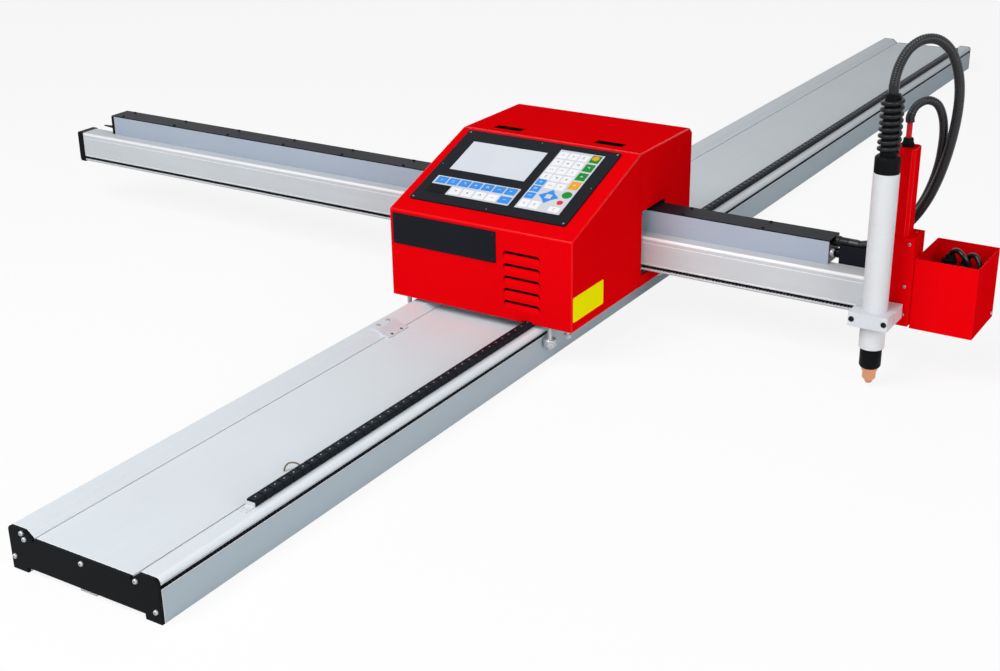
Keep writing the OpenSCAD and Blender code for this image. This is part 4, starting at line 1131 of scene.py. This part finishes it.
    def _louvres(self) -> None:
        """Builds the louvres' tongues, with near-black sheets of painted shade behind them, under the
        top slots and behind the seam.
        """
        shape = Shape("louvre_tongues", "red", "painted_shade_inside", "red_painted_shade")
        left, right = self.louvre_x
        start, y, h = left - 0.2, self.front, self.louvre_h
        curve = ((0.05, 0.0, 0.2), (0.5, 0.12, -0.8), (1.5, 0.32, -1.6), (3.0, 0.48, -3.2),
                 (4.6, 0.58, -6.5))
        for z in self.louvres():
            loops = []
            for depth, rise, past in curve:
                end, edge = right + past, z + rise * h
                loops.append([mm(start, y + depth, edge), mm(end, y + depth, edge),
                              mm(end, y + depth + 1, edge - 0.3),
                              mm(start, y + depth + 1, edge - 0.3)])
            shape.loft(loops, smooth=False)
            # the cheek takes the darker red: painted shade
            cheek = [mm(start, y + 0.3, z), mm(start, y + 5.5, z + 0.72 * h),
                     mm(start, y + 0.3, z + 0.72 * h)]
            shape.prism(cheek, mm(1.5, 0, 0), slot=2)
            # a near-black sheet behind each louvre: painted shade
            shape.box(mm(left - 1, y + 7.5, z - 2), mm(right + 2, y + 8.5, z + h + 4), slot=1)
        # near-black sheets under the top slots: painted shade
        near, far = self.slot_y
        reach = self.slot_half + 2
        for x in (self.middle - self.slot_reach, self.middle + self.slot_reach):
            shape.box(mm(x - reach, near - 2, self.top - 2.6), mm(x + reach, far + 2, self.top - 1.2),
                      slot=1)
        # near-black strips behind the seam: painted shade
        for x in (self.left + 2.4, self.right - 3.4):
            shape.box(mm(x, self.seam - 5, self.bottom + 1), mm(x + 1, self.seam + 5, self.top - 4),
                      slot=1)
        shape.build("carriage", slot="red_paint", angle=60)

    def _name_plate(self) -> None:
        """Builds the bare black plate with its four screws."""
        low, high = box_mm("name_plate")
        thick, inset = 1.5, 6
        shape = Shape("bare_name_plate", "satin_black", "black_steel")
        shape.box(mm(low.x, self.front - thick, low.z), mm(high.x, self.front + 0.2, high.z),
                  0.5 * MM)
        for x in (low.x + inset, high.x - inset):
            for z in (low.z + inset, high.z - inset):
                shape.screw(mm(x, self.front - thick, z), Axis.MINUS_Y, 2.0, 1.2, 1)
        shape.build("carriage", "name_plate", slot="bezel_black")

    def _screws(self) -> None:
        """Builds the screw heads on the housing's sides."""
        shape = Shape("housing_screws", "red")
        for y, z in ((self.seam + 35, 225), (self.seam + 150, 100), (self.seam + 150, 290),
                     (self.front + 122, 90), (-580, 90)):
            shape.screw(mm(self.right, y, z), Axis.X, 2.6, 1.6)
            shape.screw(mm(self.left, y, z), Axis.MINUS_X, 2.6, 1.6)
        shape.build("carriage", "cover_screws", slot="zinc_screw")


class KeyLook(Enum):
    """The looks on a keypad, as slots in its finishes."""

    WHITE = 1
    BLUE = 2
    GREEN = 3
    ORANGE = 4
    RED = 5
    INK = 6
    BLANK = 7


KEYPAD_FINISHES = ("key_film", "key_white", "key_blue", "key_green", "key_orange", "key_red",
                   "ink")
UPRIGHT = (-0.45, -2.6, 0.9, 5.2)
UPPER = (-2.2, 1.6, 4.4, 0.9)
STROKES = (
    ((-2.2, 0, 4.4, 0.9),), (UPRIGHT,), (UPPER, (-2.2, -2.2, 4.4, 0.9)),
    (UPPER, (1.4, -2.2, 0.9, 4.4)), (UPRIGHT, (-2.6, -0.45, 5.2, 0.9)),
    ((-2.2, -2.2, 0.9, 4.6), UPPER, (1.4, -2.2, 0.9, 4.6)),
    ((-3.2, -0.45, 2.4, 0.9), (0.8, -0.45, 2.4, 0.9)),
)


@dataclass
class Panel:
    """The sloping control panel: keypads with their keys, and the bezel's screws."""

    host: Host
    film: float = 3.8
    key: float = 0.9
    keypad: tuple[float, float, float, float] = (54.0, 57.0, 87.0, 171.0)
    middle: tuple[float, float] = (9.0, 139.0)
    screw_reach: tuple[float, float] = (150.5, 99.5)

    def build(self) -> None:
        """Builds both keypads and the bezel's screws."""
        self._right_keypad()
        self._lower_keypad()
        self._bezel_screws()

    def _key(self, shape: Shape, x: float, y: float, w: float, h: float,
             look: KeyLook, marks: int, ink: KeyLook | None = None) -> None:
        """Adds one key with generic strokes on it.

        Args:
            shape: the keypad.
            x: left edge across the panel.
            y: lower edge up the slope.
            w: width.
            h: height.
            look: colour of the key.
            marks: picks the strokes that the key shows.
            ink: the strokes' colour, or None for the usual one.
        """
        turn = self.host.panel_frame()
        z = self.film
        shape.box(mm(x, y, z - 0.2), mm(x + w, y + h, z + self.key), 0.5 * MM, look.value, turn)
        if ink is None:
            ink = KeyLook.INK if look is KeyLook.WHITE else KeyLook.WHITE
        for dx, dy, sw, sh in STROKES[marks % len(STROKES)]:
            left, low = x + w / 2 + dx, y + h / 2 + dy
            shape.box(mm(left, low, z + self.key - 0.2),
                      mm(left + sw, low + sh, z + self.key + 0.08), 0, ink.value, turn)

    def _sheet(self, shape: Shape, low: tuple[float, float], high: tuple[float, float]) -> None:
        """Adds a keypad's film.

        Args:
            shape: the keypad.
            low: its lower left corner on the slope.
            high: its upper right corner.
        """
        shape.box(mm(*low, 2.9), mm(*high, self.film), 0.3 * MM, 0, self.host.panel_frame())

    def _right_keypad(self) -> None:
        """Builds the tall keypad: a number block, coloured keys, arrows and discs."""
        shape = Shape("number_keypad", *KEYPAD_FINISHES)
        x, y, w, h = self.keypad
        self._sheet(shape, (x, y), (x + w, y + h))
        for row in range(5):
            for col in range(3):
                if (row, col) != (4, 0):
                    self._key(shape, x + 3 + col * 20.5, y + h - 24 - row * 21.5, 18.5, 17.5,
                              KeyLook.WHITE, row * 3 + col)
        for row in range(4):
            self._key(shape, x + 66, y + h - 24 - row * 26, 18, 21,
                      KeyLook.ORANGE if row == 3 else KeyLook.GREEN, row + 2)
        for row in range(3):
            self._key(shape, x + 3, y + h - 104 - row * 19.5, 17, 16, KeyLook.BLUE, row + 4)
        for col in range(2):
            self._key(shape, x + 3 + col * 20.5, y + 4, 18.5, 20, KeyLook.WHITE, col + 1)
        self._arrows(shape, x + 45, y + 41)
        self._disc(shape, x + 75, y + 52, 9, KeyLook.GREEN)
        self._disc(shape, x + 73, y + 30, 5.5, KeyLook.RED)
        self._disc(shape, x + 75, y + h - 12, 6.5, KeyLook.ORANGE, self.key)
        self._key(shape, x + 62, y + 4, 20, 13, KeyLook.WHITE, 2, KeyLook.RED)
        shape.build("carriage", "right_keypad", slot="keypad_film")

    def _arrows(self, shape: Shape, x: float, y: float) -> None:
        """Adds the four arrow keys round a point.

        Args:
            shape: the keypad.
            x: the point's place across the panel.
            y: its place up the slope.
        """
        turn = self.host.panel_frame()
        for k in range(4):
            spin = turn @ Matrix.Translation(mm(x, y, 0)) @ Matrix.Rotation(
                k * math.pi / 2, 4, "Z")
            outline = ((-8, 6), (8, 6), (8, 9), (0, 19), (-8, 9))
            shape.prism([spin @ mm(*corner, self.film) for corner in outline],
                        turn.to_3x3() @ mm(0, 0, self.key), 0.3 * MM, KeyLook.BLUE.value)

    def _disc(self, shape: Shape, x: float, y: float, r: float, look: KeyLook,
              lift: float = 0.0) -> None:
        """Adds a round key.

        Args:
            shape: the keypad.
            x: its middle across the panel.
            y: its middle up the slope.
            r: its radius.
            look: its colour.
            lift: how far it stands on another key.
        """
        turn, steps = self.host.panel_frame(), 24
        base = turn @ mm(x, y, self.film - 0.2 + lift)
        ring = [base + turn.to_3x3() @ mm(r * math.cos(k * math.tau / steps),
                                          r * math.sin(k * math.tau / steps), 0)
                for k in range(steps)]
        shape.prism(ring, turn.to_3x3() @ mm(0, 0, 1) * 1.1, 0.3 * MM, look.value)

    def _lower_keypad(self) -> None:
        """Builds the wide keypad: a row of blue keys over a row of white ones."""
        shape = Shape("soft_keypad", *KEYPAD_FINISHES, "plastic")
        self._sheet(shape, (-128.5, 81), (41.5, 104.6))
        self._sheet(shape, (-86.5, 57), (41.5, 81.2))
        shape.box(mm(-128.5, 58, 2.9), mm(-88, 80, 3.5), 0.3 * MM, KeyLook.BLANK.value,
                  self.host.panel_frame())
        for col in range(7):
            self._key(shape, -124 + col * 23.6, 84, 20.5, 17.5, KeyLook.BLUE, col + 1)
        for col in range(5):
            self._key(shape, -83 + col * 25, 60, 22, 18,
                      KeyLook.BLUE if col == 4 else KeyLook.WHITE, col + 3)
        shape.build("carriage", "lower_keypad", slot="keypad_film")

    def _bezel_screws(self) -> None:
        """Builds the bezel's flat screws: four larger at the corners, four between them."""
        shape = Shape("bezel_screws", "steel")
        for i in (-1, 0, 1):
            for j in (-1, 0, 1):
                if i == j == 0:
                    continue
                r = 1.9 if i and j else 1.1
                x = self.middle[0] + i * self.screw_reach[0]
                y = self.middle[1] + j * self.screw_reach[1]
                shape.lathe([(0, 2.0), (r, 2.0), (r, 2.9), (r * 0.8, 3.3), (r * 0.3, 3.3),
                             (0, 3.0)], mm(x, y, 0), steps=16, turn=self.host.panel_frame())
        shape.build("carriage", slot="zinc_screw")


@dataclass
class Beam:
    """The small pieces on the beam, the duct and the lifter."""

    duct_top: float = 208.0
    first_screw: float = 30.0
    screw_pitch: float = 150.0
    screw_inset: float = 6.0
    skirt: float = 14.0
    skirt_out: float = 0.8
    cable: float = 4.45
    gland: tuple[float, float, float] = (649, -525.5, 391)

    def build(self) -> None:
        """Builds the screws, the box's leads, the gland, the skirts and the seal."""
        self._duct_screws()
        self._lifter_screws()
        self._box_leads()
        self._gland()
        self._end_skirts()
        self._duct_seal()

    def _end_skirts(self) -> None:
        """Builds the black skirts of the beam's end caps and the duct's left plug."""
        low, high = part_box("beam_extrusion")
        shape = Shape("beam_end_skirts", "plastic")
        out, wide, past = self.skirt_out * MM, self.skirt * MM, 1.5 * MM
        for start in (low.x - past, high.x + past - wide):
            for a, b in (((low.y - out, low.z - out), (low.y, high.z + out)),
                         ((high.y, low.z - out), (high.y + out, high.z + out)),
                         ((low.y, high.z), (high.y, high.z + out)),
                         ((low.y, low.z - out), (high.y, low.z))):
                shape.box(Vector((start, *a)), Vector((start + wide, *b)), 0.3 * MM)
        low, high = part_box("cable_duct")
        shape.box(low + mm(-1, -0.6, 1), Vector((low.x + 6 * MM, low.y, high.z)), 0.25 * MM)
        shape.build("beam", slot="black_plastic")

    def _duct_seal(self) -> None:
        """Builds the black seal that hangs before the duct where it enters the housing."""
        y = box_mm("cable_duct")[0].y
        shape = Shape("duct_seal", "plastic")
        shape.box(mm(-184, y - 6, 176), mm(-166.5, y - 1.6, 212), 1.6 * MM)
        shape.build("carriage", slot="black_plastic")

    def _duct_screws(self) -> None:
        """Builds the screws on the duct's lid and the bolts at the duct's and beam's ends."""
        low, high = box_mm("cable_duct")
        left, right, front, back = low.x, high.x, low.y, high.y
        shape = Shape("duct_screws", "zinc", "black_steel")
        count = int((right - left - 2 * self.first_screw) // self.screw_pitch)
        for i in range(count + 1):
            for y in (front + self.screw_inset, back - self.screw_inset):
                shape.screw(mm(left + self.first_screw + self.screw_pitch * i, y, self.duct_top),
                            Axis.Z, 2.6, 1.2, 1)
        shape.screw(mm(right, front + 12, 184), Axis.X, 7.2, 6.0)
        cap = box_mm("beam_end_caps")[0]
        shape.screw(mm(cap.x + 3, -515, 134), Axis.MINUS_X, 4.7, 3.0)
        shape.build("beam", slot="zinc_screw")

    def _lifter_screws(self) -> None:
        """Builds the screw heads on the lifter housing and the cable box."""
        low, high = box_mm("lifter_housing")
        right, bottom, top, front = high.x, low.z, high.z, low.y + 2
        shape = Shape("lifter_screws", "zinc")
        for x, z in ((right - 8, top - 10), (right - 10, bottom + 68), (right - 16, bottom + 30),
                     (right - 9, bottom + 20)):
            shape.screw(mm(x, front, z), Axis.MINUS_Y, 2.7, 2.0)
        box_back = box_mm("cable_box")[1].y
        shape.screw(mm(783, box_back - 12, 102), Axis.X, 2.7, 2.0)
        shape.build("beam", slot="zinc_screw")

    def _box_leads(self) -> None:
        """Builds the black plugs and leads that stand in the cable box."""
        low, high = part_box("cable_box")
        corner = Vector((low.x, high.y, high.z))
        shape = Shape("box_leads", "hose", "plastic")
        for *place, r in ((34, -34, -24, 9), (58, -28, -30, 8), (46, -58, -44, 8)):
            shape.lathe([(0, -40), (r, -40), (r, -6), (r + 1.6, -5), (r + 1.6, 3), (r, 4),
                         (r - 2, 12), (0, 12)], corner + mm(*place), Axis.Z, 1, 24)
        for bow in (((34, -34, -16), (38, -38, -6), (48, -44, -2), (60, -48, -10), (70, -46, -30),
                     (72, -44, -60)),
                    ((58, -28, -20), (66, -30, -10), (78, -36, -12), (86, -42, -30),
                     (88, -44, -70))):
            path = Route([corner + mm(*place) for place in bow]).even(0.002)
            shape.tube([(point, heading, 4.5 * MM) for point, heading in path],
                       Vector((0.3, 0.95, 0.1)), 14)
        shape.build("beam", slot="black_plastic")

    def _gland(self) -> None:
        """Builds the gland and red cable on the motor cover, and the lifter's inner parts."""
        shape = Shape("motor_gland", "plastic", "red_cable", "motor", "zinc")
        at, r = mm(*self.gland), self.cable
        shape.lathe([(4.6, -8), (6.7, -8), (6.7, 0), (9.8, 0), (9.8, 5.6), (8.6, 6.4), (8.6, 7),
                     (8.2, 12), (6.6, 14), (4.6, 14)], at, Axis.Z, 0, 12)
        shape.lathe([(0, -8), (r, -8), (r, 38.7), (0, 38.7)], at, Axis.Z, 1, 24)
        shape.box(mm(634, -540.5, 247.2), mm(664, -510.5, 293), 2 * MM, 2)
        for x in (646, 671):
            shape.lathe([(0, 0), (3, 0), (3, 145), (0, 145)], mm(x, -506, 101), Axis.Z, 3, 24)
        shape.box(mm(640.4, -512, 99.2), mm(677.6, -496.2, 103.9), 0.5 * MM, 3)
        shape.build("beam", "lifter_guides", slot="motor_black")


@dataclass
class Torch:
    """The torch: tube, nose, nozzle, collar and coiled boot."""

    x: float = field(init=False)
    y: float = field(init=False)
    tip: float = field(init=False)
    nozzle: float = 27.5
    nose: float = 35.5
    tube: float = 293.0
    radius: float = 20.5
    collar: float = 27.0
    boot: float = 96.5
    turns: float = 8.5
    wire: float = 7.0
    coil_steps: int = 40
    taper_steps: int = 12
    taper_from: float = 0.35

    def __post_init__(self) -> None:
        """Takes the torch's axis and the height of its tip from the frame."""
        low, high = box_mm("torch_tube")
        self.x, self.y, self.tip = high.x - self.radius, (low.y + high.y) / 2, low.z

    def build(self) -> None:
        """Builds the tube and the boot."""
        self._tube()
        self._boot()

    def _tube(self) -> None:
        """Builds the aluminium tube, the black nose and the copper nozzle."""
        shape = Shape("torch_body", "turned", "plastic", "copper")
        r, n, h = self.radius, self.nose, self.nozzle
        nose_z = self.tip + h
        tube_z = nose_z + n
        shape.lathe([(r - 3, 0), (r - 0.6, 0), (r, 0.6), (r, self.tube - 0.6),
                     (r - 0.6, self.tube), (r - 3, self.tube)], mm(self.x, self.y, tube_z),
                    Axis.Z, 0, 96)
        shape.lathe([(6, 0.2), (r - 6, 0.2), (r - 5.2, 0.8), (r - 3.4, 3.4), (r - 3, 4.4),
                     (r - 3, n - 9), (r - 3.5, n - 8.5), (r - 3.5, n - 7.5), (r - 3, n - 7),
                     (r - 3, n + 8), (6, n + 8)],
                    mm(self.x, self.y, nose_z), Axis.Z, 1, 64)
        shape.lathe([(1.3, 0), (4.2, 0), (5, 0.5), (8.6, 6.6), (9.2, 7.2), (11, 9.2),
                     (11, h - 5.6), (11.6, h - 5), (12.9, h - 5), (12.9, h), (1.3, h)],
                    mm(self.x, self.y, self.tip), Axis.Z, 2, 48)
        shape.build("z_slide", "torch_tube", slot="torch_aluminium")

    def _boot(self) -> None:
        """Builds the collar, the boot's core and the coil wound round it."""
        shape = Shape("torch_boot_coil", "rubber", "plastic")
        r = self.radius
        base = self.tip + self.nozzle + self.nose + self.tube
        c, b = self.collar, self.boot
        shape.lathe([(8, -8), (r - 3.1, -8), (r - 3.1, 0.1), (r - 1.0, 0.1), (r - 0.5, 0.7),
                     (r - 0.5, c - 4), (r - 1.2, c - 2), (r - 3.5, c), (13.0, c), (12.0, c + b),
                     (8, c + b)], mm(self.x, self.y, base), Axis.Z, 1, 64)
        wound = r - 2 - self.wire / 2
        pitch = (b - 10) / self.turns
        steps, rings = self.coil_steps, []
        for i in range(int(self.turns * steps) + 1):
            a = i * math.tau / steps
            centre = mm(self.x + wound * math.cos(a), self.y + wound * math.sin(a),
                        base + c + 5 + pitch * i / steps)
            ahead = Vector((-wound * math.sin(a), wound * math.cos(a),
                            pitch / math.tau)).normalized()
            ends = min(i, self.turns * steps - i)
            taper = min(1.0, self.taper_from + ends / self.taper_steps)
            rings.append((centre, ahead, self.wire / 2 * MM * taper))
        shape.tube(rings, Vector((0, 0, 1)), 12)
        shape.build("z_slide", "torch_boot", slot="black_rubber")


@dataclass
class Hose:
    """A corrugated hose held at both ends."""

    name: str
    node: str
    points: Sequence[tuple[float, float, float]]
    diameter: float
    rib: float = 3.6
    dips: tuple[float, ...] = (0.0, 0.25, 0.9, 0.25)
    side: tuple[float, float, float] = (0.62, -0.78, 0.0)

    def build(self, body: str | None) -> bpy.types.Object:
        """Args:
            body: the body that it rides on, or None for one that a blend carries.

        Returns:
            The hose.
        """
        route = Route([mm(*point) for point in self.points])
        length = route.length()
        diameter = self.diameter * MM
        pairs = route.even(self.rib * MM / len(self.dips))
        rings = []
        for k, (point, ahead) in enumerate(pairs):
            gone = k * length / (len(pairs) - 1)
            smooth = gone < diameter or gone > length - diameter
            dip = 0.0 if smooth else self.dips[k % len(self.dips)] * MM
            rings.append((point, ahead, diameter / 2 - dip))
        shape = Shape(self.name, "hose")
        shape.tube(rings, Vector(self.side), 20)
        piece = shape.build(body, self.node, slot="black_rubber", angle=80)
        tuple(mm(*self.points[0]))
        [tuple(point) for point, _ in pairs[::4]] + [tuple(pairs[-1][0])]
        return piece


TORCH_ROUTE = (
    (639, -589, 487), (639, -589, 505), (643, -585, 530), (653, -576, 554), (669, -561, 567),
    (687, -544, 565), (702, -528, 547), (711, -514, 517), (714, -502, 480), (711, -492, 436),
    (703, -484, 388), (691, -478, 340), (675, -474, 296), (654, -472, 258), (628, -472, 228),
    (601, -475, 207), (574, -478, 198), (563, -478, 198), (552, -478, 198))
MOTOR_ROUTE = (
    (649, -525.5, 430), (649, -525.5, 440), (655, -520, 455), (668, -510, 463),
    (681, -499, 456), (688, -490, 437), (690, -482, 413), (688, -474, 385), (683, -466, 352),
    (674, -459, 318), (661, -454, 284), (643, -451, 252), (620, -453, 222), (596, -462, 196),
    (573, -474, 176), (562, -474, 176), (552, -474, 176))


@dataclass
class Studio:
    """Camera, lamps, floor and world."""

    place: tuple[float, float, float] = (1.346, -2.822, 1.062)
    yaw: float = -0.566
    pitch: float = 0.402
    roll: float = -0.015
    lens: float = 54.95
    aim: tuple[float, float, float] = (0.1, -0.5, 0.1)
    floor_glow: float = 0.87
    fade: tuple[float, float] = (10.0, 60.0)
    world_light: float = 0.22

    def build(self) -> None:
        """Builds the studio."""
        self._camera()
        self._lamp("key", Vector((-0.6, -3.3, 3.4)), 2.6, 142)
        self._lamp("fill", Vector((3.6, -2.4, 1.6)), 2.0, 60)
        self._lamp("back", Vector((-0.5, 4.0, 3.5)), 3.0, 8)
        self._floor()
        self._world()
        bpy.context.scene.view_settings.view_transform = "Standard"

    def _camera(self) -> None:
        """Sets the camera at the photograph's angle."""
        ahead = Vector((math.sin(self.yaw) * math.cos(self.pitch),
                        math.cos(self.yaw) * math.cos(self.pitch), -math.sin(self.pitch)))
        right = Vector((math.cos(self.yaw), -math.sin(self.yaw), 0))
        up = right.cross(ahead)
        c, s = math.cos(self.roll), math.sin(self.roll)
        right, up = c * right + s * up, -s * right + c * up
        turn = Matrix((right, up, -ahead)).transposed().to_4x4()
        data = bpy.data.cameras.new("camera")
        data.sensor_width = 36.0
        data.lens = self.lens
        data.clip_end = 100
        camera = bpy.data.objects.new("camera", data)
        camera.matrix_world = Matrix.Translation(self.place) @ turn
        bpy.context.scene.collection.objects.link(camera)
        bpy.context.scene.camera = camera

    def _lamp(self, name: str, place: Vector, size: float, power: float) -> None:
        """Adds a soft area lamp that points at the machine.

        Args:
            name: the lamp's name.
            place: where it hangs.
            size: its side.
            power: its power in watts.
        """
        data = bpy.data.lights.new(name, "AREA")
        data.size = size
        data.energy = power
        lamp = bpy.data.objects.new(name, data)
        lamp.location = place
        lamp.rotation_euler = (Vector(self.aim) - place).to_track_quat("-Z", "Y").to_euler()
        bpy.context.scene.collection.objects.link(lamp)

    def _floor(self) -> None:
        """Lays a pale floor that keeps the machine's shadow and fades to white far away."""
        shape = Shape("floor")
        bmesh.ops.create_grid(shape.bm, x_segments=1, y_segments=1, size=30.0)
        bmesh.ops.translate(shape.bm, vec=(0, 0, -0.0004), verts=shape.bm.verts)
        floor = shape.made()
        shader = Shader("pale_floor")
        shader.tree.nodes.remove(shader.surface)
        glow = shader.node("ShaderNodeEmission", {}, {"Color": (1, 1, 1), "Strength": 1.0})
        paint = shader.node("ShaderNodeBsdfDiffuse", {}, {"Color": (0.86, 0.86, 0.87)})
        place = shader.place()
        x, y = place.part(0), place.part(1)
        near, far = self.fade
        fading = ((x * x + y * y - near) * (1 / (far - near))).clamped()
        share = shader.seen() * (fading * (1 - self.floor_glow) + self.floor_glow)
        lit = shader.node("ShaderNodeMixShader", {}, {0: share, 1: paint, 2: glow})
        shader.feed(shader.tree.nodes["Material Output"].inputs["Surface"], lit)
        floor.data.materials.append(shader.material)

    def _world(self) -> None:
        """Surrounds the machine with pale light, and shows white behind it."""
        world = bpy.data.worlds.new("studio")
        bpy.context.scene.world = world
        world.use_nodes = True
        graph = Graph(world.node_tree)
        graph.tree.nodes.remove(graph.tree.nodes["Background"])
        light = graph.node("ShaderNodeBackground", {}, {"Color": (0.96, 0.98, 1.0),
                                                        "Strength": self.world_light})
        white = graph.node("ShaderNodeBackground", {}, {"Color": (1, 1, 1), "Strength": 1.0})
        lit = graph.node("ShaderNodeMixShader", {}, {0: graph.seen(), 1: light, 2: white})
        graph.feed(graph.tree.nodes["World Output"].inputs["Surface"], lit)


KEPT: dict[str, tuple[str, float]] = {
    "rail_extrusion": ("bed", 0.9), "rail_end_caps": ("plastic", 0.6), "y_rack": ("rack", 0),
    "chain_bracket": ("milled", 0.3), "splice_plate": ("milled", 0.3),
    "base_plate": ("milled", 0.5), "panel_bezel": ("satin_black", 0.5),
    "screen": ("screen", 0.2), "side_patch": ("yellow", 0), "wheel_brackets": ("milled", 0.6),
    "roller_axles": ("zinc", 0.3), "y_motor": ("motor", 0.5), "x_motor": ("motor", 0.5),
    "beam_guide": ("milled", 0.5), "power_supply": ("zinc", 0.6), "motor_drivers": ("motor", 0.5),
    "controller_board": ("board", 0.2), "rear_sockets": ("plastic", 0.4),
    "y_pinion": ("steel", 0.1), "x_pinion": ("steel", 0.1),
    "beam_extrusion": ("beam", 0.8), "beam_end_caps": ("plastic", 0.5), "x_rack": ("rack", 0),
    "cable_duct": ("duct", 0.4), "duct_lid": ("satin_black", 0.4),
    "duct_glands": ("rubber", 0.4), "backing_plate": ("satin_black", 0.5),
    "lifter_housing": ("red", 0.7), "motor_cover": ("red", 0.8), "cable_box": ("red", 0.5),
    "box_connectors": ("plastic", 0.6), "lead_screw": ("zinc", 0.2),
    "slide_carriage": ("milled", 0.5), "torch_clamp": ("milled", 0.8),
    "clamp_screws": ("black_steel", 0.3),
    **{f"{kind}_{number}": (look, 0.3) for kind, look in (
        ("rail_roller", "nylon"), ("side_roller", "zinc"), ("beam_roller", "nylon"))
       for number in range(1, 5)},
}


def main() -> None:
    """Builds every part of the scene in order."""
    logging.basicConfig(level=logging.INFO, format="%(message)s")
    Studio().build()
    torch_hose = Hose("torch_lead_hose", "torch_hose", TORCH_ROUTE, 16.0).build(None)
    Hose("motor_lead_hose", "motor_hose", MOTOR_ROUTE, 14.0).build("beam")
    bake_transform(torch_hose)
    Dresser(KEPT).dress()
    Rail().build()
    host = Host()
    host.build()
    Panel(host).build()
    Beam().build()
    Torch().build()


if __name__ == "__main__":
    main()
